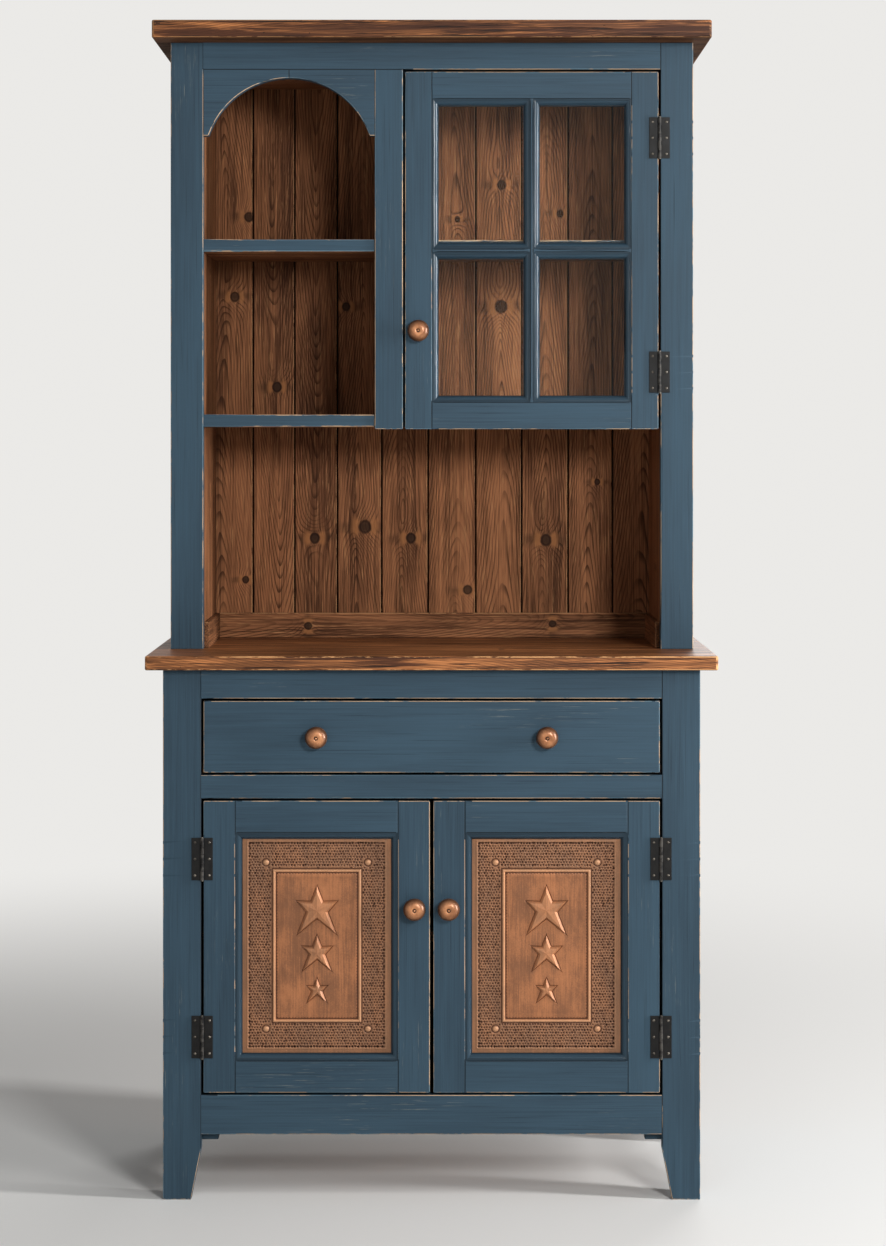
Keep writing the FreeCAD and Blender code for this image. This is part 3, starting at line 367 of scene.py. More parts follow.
def oiled_wood(f):
    """Warm oiled boards of the counter and the crown, dark in patches, cracked, rubbed at the arrises."""
    flow, late, streaks, knot = board_figure(f, 4.2 * MM)
    flames = f.noise(5, 150, flow, Detail=5, Roughness=0.65, Distortion=0.6)
    shade = f.total((streaks, 0.3), (flames, 0.7), (f.number("tone"), 0.05))
    f.ground(f.step(shade, 0.42, 0.6), (74, 42, 25), (186, 120, 72))
    f.coat(f.step(f.noise(2.6, 62, flow, Detail=4, Roughness=0.65), 0.44, 0.58), 0.7, (58, 32, 19))
    f.coat(late, 0.6, (46, 25, 15))
    cracks = f.step(f.noise(9, 330, flow, Detail=3), 0.6, 0.66)
    f.coat(cracks, 0.85, (22, 12, 8))
    holes = f.step(f.noise(120, 200, flow, Detail=1), 0.76, 0.8)
    f.coat(holes, 0.9, (20, 11, 8))
    knot_wood(f, knot, flow, (30, 17, 11), (160, 100, 58))
    f.coat(wear(f, 0.53), 0.9, (214, 160, 108))
    rough = f.step(shade, 0.3, 0.7, 0.52, 0.4)
    f.set(Roughness=rough, Specular_IOR_Level=0.16)
    f.bump(f.total((streaks, 0.5), (late, -0.35), (cracks, -1.0), (holes, -1.0)), 0.4 * MM, 0.8)


def backing_board(f):
    """Pressed board behind the copper sheets."""
    fibres = f.noise(260, 520, Detail=4, Roughness=0.7)
    clouds = f.noise(12, 12)
    f.ground(f.step(f.total((fibres, 0.7), (clouds, 0.3)), 0.35, 0.65), (92, 66, 45), (128, 96, 68))
    f.set(Roughness=f.step(fibres, 0.3, 0.7, 0.7, 0.85))
    f.bump(fibres, 0.2 * MM, 0.7)


def copper_sheet(f):
    """Aged copper: dark in its pits and grooves, rubbed light where it stands out."""
    streaks = f.noise(14, 420, Detail=3, Roughness=0.6)
    clouds = f.noise(16, 26, Detail=4, Roughness=0.6)
    specks = f.noise(520, 520)
    shade = f.total((streaks, 0.35), (clouds, 0.45), (specks, 0.2))
    f.ground(f.step(shade, 0.38, 0.64), (124, 82, 56), (172, 112, 73))
    f.coat(f.number("patina"), 0.5, (116, 90, 69))
    level = f.number("relief")
    f.coat(f.step(level, 0.0, -1.0), 0.92, (72, 42, 28))
    f.coat(f.step(level, 0.0, 2.0), 0.42, (222, 168, 126))
    rough = f.add(f.step(shade, 0.3, 0.7, 0.4, 0.54), f.step(level, 0.0, -1.0, 0.0, 0.2))
    f.set(Metallic=0.25, Roughness=rough, Specular_IOR_Level=0.3)
    f.bump(f.add(f.times(streaks, 0.4), clouds), 0.12 * MM, 0.5)


def copper_cast(f):
    """Handled copper of the knobs, with a dark ring round the pin, and painted shade towards the rim.
    relief is how far the axis is, in mm.
    """
    clouds = f.noise(60, 60, Detail=4, Roughness=0.6)
    scuffs = f.step(f.noise(110, 420, Detail=3, Roughness=0.7), 0.6, 0.7)
    f.ground(f.step(clouds, 0.35, 0.65), (146, 94, 60), (190, 130, 88))
    f.coat(scuffs, 0.4, (96, 58, 38))
    radius = f.number("relief")
    # Painted shade: darker towards the knob's rim
    f.coat(f.step(radius, 7.0, 19.0), 0.85, (58, 34, 21))
    f.coat(f.times(f.step(radius, 1.2, 1.8), f.step(radius, 4.0, 3.0)), 0.9, (34, 19, 12))
    rough = f.step(clouds, 0.3, 0.7, 0.28, 0.38)
    f.set(Metallic=0.3, Roughness=rough, Specular_IOR_Level=0.4)
    f.bump(f.add(clouds, f.times(scuffs, -0.5)), 0.1 * MM, 0.5)


def iron(f):
    """Blackened iron, greyer where it is handled."""
    clouds = f.noise(90, 90, Detail=5, Roughness=0.65)
    grit = f.noise(900, 900)
    f.ground(f.step(clouds, 0.35, 0.65), (10, 9, 9), (21, 20, 19))
    f.coat(f.times(f.number("edge"), f.step(clouds, 0.4, 0.6)), 0.7, (88, 84, 79))
    f.set(Roughness=f.step(clouds, 0.3, 0.7, 0.44, 0.6), Specular_IOR_Level=0.2)
    f.bump(f.add(clouds, f.times(grit, 0.5)), 0.1 * MM, 0.6)


def bright_steel(f):
    """Steel of screws, pins and plates, browned with age and dulled in spots."""
    clouds = f.noise(140, 140, Detail=4, Roughness=0.6)
    f.ground(f.step(clouds, 0.35, 0.65), (66, 62, 57), (118, 112, 103))
    f.coat(f.step(f.noise(420, 420, Detail=3), 0.5, 0.66), 0.6, (42, 38, 33))
    f.set(Metallic=0.85, Roughness=f.step(clouds, 0.3, 0.7, 0.34, 0.5))
    f.bump(clouds, 0.05 * MM, 0.5)


def catch_plastic(f):
    """Brown moulded plastic with a fine grain."""
    grit = f.noise(1400, 1400)
    f.ground(f.noise(60, 60), (58, 40, 30), (74, 52, 38))
    f.set(Roughness=f.step(grit, 0.3, 0.7, 0.4, 0.52))
    f.bump(grit, 0.05 * MM, 0.6)


def glass(f):
    """Thin old panes: clear to the lamps' shadows, a little wavy and dusty."""
    place = f.vector("rel")
    dust = f.noise(30, 30, place, Detail=5, Roughness=0.7)
    rough = f.step(dust, 0.4, 0.8, 0.0, 0.06)
    f.set(Base_Color=(0.96, 0.98, 0.97, 1.0), Transmission_Weight=1.0, Roughness=rough, IOR=1.2)
    f.bump(f.noise(7, 11, place, Detail=0), 0.5 * MM, 0.2)
    clear = f.node("BsdfTransparent", {"Color": (0.76, 0.77, 0.76, 1.0)}).outputs[0]
    f.mix_in(f.node("LightPath").outputs["Is Shadow Ray"], clear, "Material Output")


# ---- solids of the frame
def solids_of(name):
    """Points of a CAD node and the triangles of each of its solids."""
    mesh = nodes[name].data
    spots, index = {}, []
    for vertex in mesh.vertices:
        spot = tuple(round(c, 6) for c in vertex.co)
        index.append(spots.setdefault(spot, len(spots)))
    solids, triangles, open_edges = [], [], set()
    for face in mesh.polygons:
        corners = [index[i] for i in face.vertices]
        if len(set(corners)) < len(corners):
            continue
        triangles.append(corners)
        for a, b in zip(corners, corners[1:] + corners[:1]):
            if (b, a) in open_edges:
                open_edges.remove((b, a))
            else:
                open_edges.add((a, b))
        if not open_edges:
            solids.append(triangles)
            triangles = []
    return [Vector(spot) for spot in spots], solids


def solid_box(points, triangles):
    used = np.array([points[i] for i in {i for corners in triangles for i in corners}])
    return used.min(0), used.max(0)


def body_of(name):
    return nodes[name]["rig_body"] if name in nodes else "cabinet"


SOLIDS = {name: solids_of(name) for name in nodes}
BOXES = [(name, *solid_box(points, solid)) for name, (points, solids) in SOLIDS.items() for solid in solids]
LOWS = np.array([low for _, low, _ in BOXES])
HIGHS = np.array([high for _, _, high in BOXES])
BOX_BODIES = np.array([body_of(name) for name, _, _ in BOXES])


def others_of(body, own_low):
    """Which solids are others of the same body."""
    return (BOX_BODIES == body) & (np.abs(LOWS - own_low).max(1) > SAME_PLACE)


def is_seam(edge, body, own_low):
    """Whether most of an edge lies against another piece of the same body."""
    others = others_of(body, own_low)
    low, high = LOWS[others], HIGHS[others]
    ends = [np.array(v.co) for v in edge.verts]
    one, two = [np.array(face.normal) for face in edge.link_faces]
    met = 0
    for share in LOOK_ALONG:
        spot = ends[0] + (ends[1] - ends[0]) * share
        beside = (spot + (one - two) * LOOK_ASIDE, spot + (two - one) * LOOK_ASIDE)
        met += any(((low <= place) & (high >= place)).all(1).any() for place in beside)
    return met > len(LOOK_ALONG) / 2


def joint_ends(own_low, own_high, axis, body):
    """Where, along a solid's length, the pieces that lie against it begin and end."""
    near = (LOWS <= own_high + LOOK_ASIDE).all(1) & (HIGHS >= own_low - LOOK_ASIDE).all(1)
    near &= others_of(body, own_low)
    ends = []
    for place in sorted([*LOWS[near, axis], *HIGHS[near, axis]]):
        inner = own_low[axis] + LEAST_PART < place < own_high[axis] - LEAST_PART
        if inner and not (ends and place - ends[-1] < LEAST_PART):
            ends.append(place)
    return ends


def within(knots, low, high):
    """The knots that lie in a box."""
    return [knot for knot in knots if (knot[0] >= low).all() and (knot[0] <= high).all()]


def solid_part(points, triangles, body, shortest, knots):
    """One solid, cut across between its knots and where other pieces end, with its sharp edges weighted."""
    own_low, own_high = solid_box(points, triangles)
    part = bmesh.new()
    made = {}
    for corners in triangles:
        for i in corners:
            if i not in made:
                made[i] = part.verts.new(points[i])
        part.faces.new([made[i] for i in corners])
    bmesh.ops.dissolve_limit(part, angle_limit=FLAT, verts=part.verts, edges=part.edges)
    axis = int(np.argmax(own_high - own_low))
    knotty = sorted(place[axis] for place, _ in within(knots, own_low, own_high))
    cuts = [(a + b) / 2 for a, b in zip(knotty, knotty[1:])]
    for place in cuts + joint_ends(own_low, own_high, axis, body):
        cut, normal = np.zeros(3), np.zeros(3)
        cut[axis], normal[axis] = place, 1
        everything = part.verts[:] + part.edges[:] + part.faces[:]
        bmesh.ops.bisect_plane(part, geom=everything, plane_co=cut, plane_no=normal)
    part.normal_update()
    weight = part.edges.layers.float.new("bevel_weight_edge")
    for edge in part.edges:
        if len(edge.link_faces) != 2 or not edge.is_convex or edge.calc_length() < shortest:
            continue
        if edge.calc_face_angle() > SHARP:
            edge[weight] = SEAM_EASE / FREE_EASE if is_seam(edge, body, own_low) else 1.0
    return part


def to_mesh(bm, name):
    """The mesh of what is drawn, which is freed."""
    mesh = bpy.data.meshes.new(name)
    bm.to_mesh(mesh)
    bm.free()
    return mesh


def add_object(name, data):
    made = bpy.data.objects.new(name, data)
    bpy.context.scene.collection.objects.link(made)
    return made


def eased_mesh(name, width, shortest, knots):
    """The node's solids as one mesh with their sharp edges eased, and eased faces in material 1."""
    points, solids = SOLIDS[name]
    bm = bmesh.new()
    bm.edges.layers.float.new("bevel_weight_edge")
    for triangles in solids:
        mesh = to_mesh(solid_part(points, triangles, body_of(name), shortest, knots), "part")
        bm.from_mesh(mesh)
        bpy.data.meshes.remove(mesh)
    mesh = to_mesh(bm, name)
    mesh.materials.append(None)
    if not width:
        return mesh
    mesh.materials.append(None)
    carrier = add_object("carrier", mesh)
    ease = carrier.modifiers.new("ease", "BEVEL")
    ease.limit_method = "WEIGHT"
    ease.width = width
    ease.segments = 2
    ease.use_clamp_overlap = False
    ease.material = 1
    eased = bpy.data.meshes.new_from_object(carrier.evaluated_get(bpy.context.evaluated_depsgraph_get()))
    bpy.data.objects.remove(carrier)
    return eased


# ---- attributes that finishes read
def islands(mesh):
    """For each vertex, the number of the solid that it belongs to."""
    root = list(range(len(mesh.vertices)))

    def find(i):
        while root[i] != i:
            root[i] = root[root[i]]
            i = root[i]
        return i

    for edge in mesh.edges:
        root[find(edge.vertices[0])] = find(edge.vertices[1])
    _, numbers = np.unique([find(i) for i in range(len(root))], return_inverse=True)
    return numbers


def vectors(items, field):
    """A field of a mesh's vertices or faces, one row each."""
    values = np.zeros(len(items) * 3, np.float32)
    items.foreach_get(field, values)
    return values.reshape(-1, 3)


def scalars(items, field, kind=np.int32):
    """A field of a mesh's corners or faces, one number each."""
    values = np.zeros(len(items), kind)
    items.foreach_get(field, values)
    return values


def store(mesh, domain, **layers):
    for name, values in layers.items():
        kind, field = ("FLOAT", "value") if values.ndim == 1 else ("FLOAT_VECTOR", "vector")
        layer = mesh.attributes.new(name, kind, domain)
        layer.data.foreach_set(field, values.astype(np.float32).ravel())


def solid_boxes(spots, numbers):
    """Low and high corners of each solid."""
    shape = (numbers.max() + 1, 3)
    low, high = np.full(shape, np.inf, np.float32), np.full(shape, -np.inf, np.float32)
    np.minimum.at(low, numbers, spots)
    np.maximum.at(high, numbers, spots)
    return low, high


def mark(mesh, name, knots):
    """Writes each solid's grain coordinates, place in its box, tone and knots, and its wear, dirt and
    painted light.
    """
    chance = random.Random(name + str(SEED))
    spots, numbers = vectors(mesh.vertices, "co"), islands(mesh)
    grain, rel = np.zeros_like(spots), np.zeros_like(spots)
    tone = np.zeros(len(spots), np.float32)
    corner_vertex = scalars(mesh.loops, "vertex_index")
    corner_face = np.repeat(np.arange(len(mesh.polygons)), scalars(mesh.polygons, "loop_total"))
    centres = vectors(mesh.polygons, "center")
    knot = np.tile(np.array(NO_KNOT, np.float32), (len(corner_vertex), 1))
    for number, (low, high) in enumerate(zip(*solid_boxes(spots, numbers))):
        own = numbers == number
        order = np.argsort(low - high)
        shift = [chance.uniform(0, GRAIN_SHIFT) for _ in range(3)]
        grain[own] = spots[own][:, order] + shift
        rel[own] = (spots[own] - (low + high) / 2)[:, order]
        tone[own] = chance.uniform(-1, 1)
        along, across = order[:2]
        near = within(knots, low, high)
        if not near:
            continue
        places = np.array([place[along] for place, _ in near])
        nearest = np.abs(centres[:, along][:, None] - places[None, :]).argmin(1)
        for i, (place, size) in enumerate(near):
            chosen = own[corner_vertex] & (nearest[corner_face] == i)
            at = spots[corner_vertex[chosen]] - place
            knot[chosen, 0], knot[chosen, 1], knot[chosen, 2] = at[:, along], at[:, across], size
    edge, seam, moulding = wear_and_dirt(mesh, name, numbers)
    # Painted shade: faces in the gaps round other bodies' pieces, and the whole door stop, are coloured
    # dark
    seam[(in_gap(mesh, body_of(name)) | (name == STOP)) & (edge == 0)] = GAP_SHADE
    store(mesh, "POINT", grain=grain, rel=rel, tone=tone)
    edge, seam, moulding = [values[corner_face] for values in (edge, seam, moulding)]
    store(mesh, "CORNER", knot=knot, edge=edge, seam=seam, moulding=moulding)
    mesh.polygons.foreach_set("material_index", np.zeros(len(mesh.polygons), np.int32))


def in_gap(mesh, body):
    """Which faces look straight into the gap before a piece of another body."""
    probe = vectors(mesh.polygons, "center") + vectors(mesh.polygons, "normal") * GAP_REACH
    low, high = LOWS[BOX_BODIES != body], HIGHS[BOX_BODIES != body]
    found = np.zeros(len(probe), bool)
    for i in range(len(low)):
        found |= ((probe > low[i]) & (probe < high[i])).all(1)
    return found


def longest_sides(mesh, spots):
    corner = scalars(mesh.loops, "vertex_index")
    start = scalars(mesh.polygons, "loop_start")
    following = np.arange(1, len(corner) + 1)
    following[np.append(start[1:], len(corner)) - 1] = start
    side = np.linalg.norm(spots[corner] - spots[corner[following]], axis=1)
    return np.maximum.reduceat(side, start)


def wear_and_dirt(mesh, name, numbers):
    """For each face, how far it is a worn edge, a dark seam, a place of painted shade, and a moulding; on
    the back boards the worn edges are painted highlights.
    """
    eased = scalars(mesh.polygons, "material_index") == 1
    spots = vectors(mesh.vertices, "co")
    strip = scalars(mesh.polygons, "area", np.float32) / longest_sides(mesh, spots)
    centre, normal = vectors(mesh.polygons, "center"), vectors(mesh.polygons, "normal")
    solid = numbers[[face.vertices[0] for face in mesh.polygons]]
    low, high = solid_boxes(spots, numbers)
    outer = np.minimum(np.abs(centre - low[solid]), np.abs(centre - high[solid])) < OUTERMOST
    edge = eased & (strip > STRIP_OF_SEAM) & (outer[:, 1] | (outer.sum(1) > 1))
    seam = eased & (strip <= STRIP_OF_SEAM)
    depth = centre[:, 1] - low[solid][:, 1]
    moulding = np.zeros(len(edge), np.float32)
    if name.endswith(MOULDED):
        edge = edge * np.where(outer.sum(1) > 1, 1.0, STEP_WEAR) * (depth < OUTERMOST)
        # Painted shade on the lip round the panel and in the step below the face
        seam |= (depth > LIP_DEPTH) & (depth < PANEL_DEPTH) & (strip < LIP_STRIP)
        seam = np.maximum(seam, STEP_SHADE * ((depth > FACE_DEPTH) & (depth < STEP_DEPTH) & (edge == 0)))
        # Marks the mouldings, which the paint colours darker as painted shade and makes glossier
        moulding[(depth > FACE_DEPTH) & (depth < LIP_DEPTH) & (normal[:, 1] < -TO_FRONT)] = 1.0
    # Back boards: groove flanks that face right get the worn colour as a painted highlight; the left-facing
    # flanks and the grooves are coloured dark, as seams and painted shade
    if name.endswith("back_boards"):
        facing = np.abs(normal[:, 1])
        least, most = GROOVE_FLANK
        edge = (facing > least) & (facing < most) & (normal[:, 0] > 0)
        seam = ~edge & ~((facing > most) & outer[:, 1])
    if "hinge" in name:
        edge = KNUCKLE_WEAR * (depth < KNUCKLE_H) + edge
    if name in ROUNDED:
        edge = ROUNDED[name] * (np.abs(normal).max(1) < ROUNDING)
        # Painted shade under the rounded boards
        seam = SHADE_BELOW * (normal[:, 2] < -TURNED)
    return edge.astype(np.float32), seam.astype(np.float32), moulding


def smooth(mesh, angle=SHARP):
    mesh.shade_smooth()
    mesh.set_sharp_from_angle(angle=angle)


def slot_of(name):
    return nodes[name].data.materials[0].name


def nodes_in(*slots):
    return [name for name in nodes if slot_of(name) in slots]


def stand_for(mesh, name, *materials, weigh_normals=True):
    """Puts a finished mesh in the place of a CAD node."""
    own = scalars(mesh.polygons, "material_index")
    mesh.materials.clear()
    for made in materials:
        mesh.materials.append(made)
    mesh.polygons.foreach_set("material_index", own)
    piece = add_object(name + "_finished", mesh)
    if weigh_normals:
        normals = piece.modifiers.new("normals", "WEIGHTED_NORMAL")
        normals.keep_sharp = True
    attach(piece, body_of(name))
    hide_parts(name)


def random_knots(name):
    """Knots of a node's longer boards, as (place, half width)."""
    points, solids = SOLIDS[name]
    chance = random.Random(name)
    knots = []
    for triangles in solids:
        low, high = solid_box(points, triangles)
        order = np.argsort(low - high)
        along, across = order[:2]
        length = high[along] - low[along]
        if length < LEAST_KNOTTY:
            continue
        count = max(1, round(length / KNOT_PITCH))
        for i in range(count):
            place = (low + high) / 2
            place[along] = low[along] + length * (i + chance.uniform(*KNOT_ALONG)) / count
            place[across] += (high[across] - low[across]) * chance.uniform(-KNOT_ASIDE, KNOT_ASIDE)
            knots.append((place, chance.uniform(*KNOT_SIZE) * MM))
    return knots


def back_knots():
    low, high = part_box("hutch_back_boards")
    depth = (low.y + high.y) / 2
    return [(np.array([x * MM, depth, z * MM]), size * MM) for x, z, size in BACK_KNOTS]


# ---- making of the pieces
WOODS = (blue_paint, stained_boards, oiled_wood, backing_board)
KNOTTY = ("stained_boards", "oiled_wood")
PAINTED_IN_FRONT = ("hutch_shelves", "hutch_bottom_board")
FITTINGS = (iron, bright_steel, catch_plastic)
# Laths that the glass door closes in front of
STOP = "hutch_door_stop"
STOP_CLEAR = 1 * MM
STOP_LAP = 10 * MM  # behind the door
STOP_T = 7 * MM


def finished(name, ease, shortest, knots=(), sharp=SHARP):
    """The node's solids, eased, marked for their finish and shaded smooth."""
    mesh = eased_mesh(name, ease, shortest, knots)
    mark(mesh, name, knots)
    smooth(mesh, sharp)
    return mesh


def wooden_piece(name, made):
    """One node of boards; shelves are stained behind their fronts, and rounded boards underneath."""
    slot = slot_of(name)
    knots = []
    if slot in KNOTTY or name in PAINTED_IN_FRONT:
        knots = back_knots() if name == "hutch_back_boards" else random_knots(name)
    ease = SHELF_EASE if name in PAINTED_IN_FRONT else FREE_EASE
    if name.endswith("back_boards") or slot == "oiled_wood":
        ease = 0.0
    mesh = finished(name, ease, SHORTEST_EASED, knots)
    normals = vectors(mesh.polygons, "normal")
    if name in PAINTED_IN_FRONT:
        mesh.polygons.foreach_set("material_index", (normals[:, 1] > -TURNED).astype(np.int32))
        stand_for(mesh, name, made["blue_paint"], made["stained_boards"])
    elif name in ROUNDED:
        mesh.polygons.foreach_set("material_index", (normals[:, 2] < -TURNED).astype(np.int32))
        stand_for(mesh, name, made[slot], made["stained_boards"])
    else:
        stand_for(mesh, name, made[slot])


def wooden_pieces():
    made = {finish.__name__: material(finish) for finish in WOODS}
    for name in nodes_in(*made):
        wooden_piece(name, made)


def door_stop():
    """Laths on the partition, above and below the shelf, which the glass door closes in front of."""
    _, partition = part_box("hutch_partition")
    door, door_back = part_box("glass_door_stiles")
    low_shelf, high_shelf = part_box("hutch_shelves")
    _, bottom_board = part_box("hutch_bottom_board")
    front = door_back.y + STOP_CLEAR
    bm = bmesh.new()
    for bottom, top in ((bottom_board.z, low_shelf.z), (high_shelf.z, partition.z)):
        low = Vector((partition.x, front, bottom))
        size = Vector((door.x + STOP_LAP - partition.x, STOP_T, top - bottom))
        for vertex in bmesh.ops.create_cube(bm, size=1.0)["verts"]:
            vertex.co = low + Vector(size[i] * (vertex.co[i] + 0.5) for i in range(3))
    bmesh.ops.bevel(bm, geom=bm.edges, offset=SEAM_EASE, segments=2, affect="EDGES", profile=0.5)
    mesh = to_mesh(bm, STOP)
    mesh.materials.append(material(blue_paint))
    # mark colours the whole lath dark, as painted shade in the gap beside the glass door
    mark(mesh, STOP, [])
    smooth(mesh)
    piece = add_object(STOP, mesh)
    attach(piece, "cabinet")


def fittings():
    made = {finish.__name__: material(finish) for finish in FITTINGS}
    for name in nodes_in(*made):
        stand_for(finished(name, METAL_EASE, SHORTEST_METAL), name, made[slot_of(name)])


def knobs():
    made = material(copper_cast)
    for name in nodes_in("copper_cast"):
        mesh = finished(name, 0.0, SHORTEST_METAL, sharp=KNOB_SHARP)
        spots, numbers = vectors(mesh.vertices, "co"), islands(mesh)
        low, high = solid_boxes(spots, numbers)
        from_axis = (spots - ((low + high) / 2)[numbers])[:, (0, 2)]
        store(mesh, "POINT", relief=np.hypot(*from_axis.T) / MM)
        stand_for(mesh, name, made)


# ---- embossed copper sheets, millimetres
SHEET_T = 1.2
SHEET_LAP = 8.0  # how far a sheet goes under its door's frame
MARGINS = (9.0, 10.0, 8.0, 5.0)  # plain strips left, right, below and above the hammered border
RIDGE_H = 0.6  # ridge in the margins, and how far it is outside the border
RIDGE_W = 1.0
RIDGE_OUT = 0.6
BEAD_X = 73.0  # half width and half height of the bead's centre line
BEAD_Z = 128.0
BEAD_R = 2.6
BEAD_H = 2.2
GUTTER = 0.9  # depth of the grooves beside the bead
GUTTER_W = 1.1
GUTTER_NEAR = 0.8  # middle of a groove from the bead, over the groove's width
FIELD_INSET = 7.0
FIELD_X = BEAD_X - FIELD_INSET  # half width and half height of the plain field
FIELD_Z = BEAD_Z - FIELD_INSET
TOOL_PITCH = 5.2  # row of tool marks inside the bead
TOOL_R = 1.5
TOOL_DEPTH = 0.6
BOSS_X = 87.0
BOSS_Z = 142.0
BOSS_R = 5.0
BOSS_H = 2.2
BOSS_RING = 6.4
BOSS_CLEAR = 9.5
MARK_PITCH = 4.7  # hammered border of pits in shaken, staggered rows
PIT_R = 2.45
PIT_SIZES = (0.75, 1.1)
PIT_DEPTH = 1.0
PIT_DEPTHS = (0.9, 1.7)
PIT_CLEAR = 0.7  # how much of a pit's radius stays off the bead's groove
SHAKE = 0.5
RIM_PITCH = 5.5  # row of pits along the border's outer edge
RIM_DEPTH = 0.9
RIM_SHAKE = 1.0
LAND_RELIEF = 0.1  # relief of the level ground
DARK_DEPTH = 0.75  # depth at which the copper is fully dark
RUBBED_H = 0.8  # height above the ground at which the copper is rubbed light
# Half width of each star and the height of its middle, and its outline over its half width
STARS = ((35.5, 60.0), (26.5, -13.0), (18.0, -76.5))
STAR_HALF = ((0.0, 1.2), (0.3, 0.44), (1.0, 0.46), (0.53, -0.08), (0.95, -1.16), (0.0, -0.4))
STAR_SIDE = 0.43  # middle of a star to its sides, over its half width
STAR_GROOVE_W = 1.3
STAR_CLEAR = 3 * STAR_GROOVE_W  # the field has no places nearer to a star
# Groove, foot and rim of a star, as (distance in from its outline, height, relief)
STAR_STEPS = ((0.0, -1.0, -0.7), (0.4, -0.2, 0.2), (3.7, 3.2, 0.9))
STAR_PEAK = 0.04  # of its half width, above the rim
PEAK_RELIEF = 0.6
FIELD_EDGE_RELIEF = -0.2
FIELD_PITCH = 7.0
FIELD_WAVE = 0.25
FIELD_DARKENING = 0.3  # how much darker the field gets over this width towards the bead
FIELD_DARKENING_W = 28.0
FIELD_SPOTS = 0.1  # how much that varies
# Steps of the sheet's grid, from the middle outwards, as (end from the bead, step)
GRID = ((-FIELD_INSET, 1.1), (-4.0, 0.75), (4.0, 0.5), (7.0, 0.75), (21.0, 0.8))
GRID_STEP = 1.0  # of the rest of what shows
SAME_LINE = 0.01


def grid_lines(bead, visible, full):
    """Places of the grid's lines on both sides of the middle."""
    lines, at = [0.0], 0.0
    for beyond, step in GRID + ((visible - bead, GRID_STEP),):
        end = bead + beyond
        count = max(1, round((end - at) / step))
        lines += [*np.linspace(at, end, count + 1)[1:]]
        at = end
    lines.append(full)
    return np.array([-v for v in reversed(lines[1:])] + lines)


def hammering(chance, half_x, half_z):
    """Pits of the border, as (x, z, radius, rise), in staggered rows and along its outer edge."""
    left, right, bottom, top = MARGINS
    low_x, high_x = left - half_x + PIT_R, half_x - right - PIT_R
    low_z, high_z = bottom - half_z + PIT_R, half_z - top - PIT_R
    rows = round((high_z - low_z) / MARK_PITCH)
    columns = round((high_x - low_x) / MARK_PITCH)
    marks = []
    for row in range(rows + 1):
        for column in range(columns + row % 2):
            across = (column + 0.5 * ((row + 1) % 2)) / columns
            x = low_x + (high_x - low_x) * across + chance.uniform(-SHAKE, SHAKE)
            z = low_z + (high_z - low_z) * row / rows + chance.uniform(-SHAKE, SHAKE)
            radius = PIT_R * chance.uniform(*PIT_SIZES)
            marks.append((x, z, radius, -PIT_DEPTH * chance.uniform(*PIT_DEPTHS)))
    for side_x in (low_x, high_x):
        for z in np.arange(low_z, high_z, RIM_PITCH):
            marks.append((side_x, z + chance.uniform(-RIM_SHAKE, RIM_SHAKE), PIT_R, -RIM_DEPTH))
    for side_z in (low_z, high_z):
        for x in np.arange(low_x, high_x, RIM_PITCH):
            marks.append((x + chance.uniform(-RIM_SHAKE, RIM_SHAKE), side_z, PIT_R, -RIM_DEPTH))
    return [pit for pit in marks if in_border(*pit[:3])]


def in_border(x, z, radius):
    """Whether a mark stays clear of the bead and the bosses."""
    outside = max(abs(x) - BEAD_X, abs(z) - BEAD_Z)
    from_boss = math.hypot(abs(x) - BOSS_X, abs(z) - BOSS_Z)
    return outside > BEAD_R + GUTTER_W + radius * PIT_CLEAR and from_boss > BOSS_CLEAR


def tool_marks():
    """Middles of the row of marks along the inside of the bead."""
    inset = BEAD_R + GUTTER_W + TOOL_R
    half_x, half_z = BEAD_X - inset, BEAD_Z - inset
    marks = []
    for half, other, upright in ((half_x, half_z, False), (half_z, half_x, True)):
        for along in np.linspace(-half, half, round(2 * half / TOOL_PITCH) + 1):
            for side in (-other, other):
                marks.append((side, along) if upright else (along, side))
    return marks


def press(height, xs, zs, x, z, radius, rise):
    """Presses one round mark into the grid of heights."""
    columns = np.flatnonzero(np.abs(xs - x) < radius)
    rows = np.flatnonzero(np.abs(zs - z) < radius)
    window = np.ix_(columns, rows)
    reach = ((xs[columns] - x)[:, None] ** 2 + (zs[rows] - z)[None, :] ** 2) / radius**2
    height[window] += rise * np.clip(1 - reach, 0, 1) ** 1.5


def rounded(away, radius, high):
    """Height of a bead or a boss this far away from its middle."""
    return high * np.sqrt(np.clip(1 - (away / radius) ** 2, 0, 1))


def bell(away, width):
    return np.exp(-((away / width) ** 2))


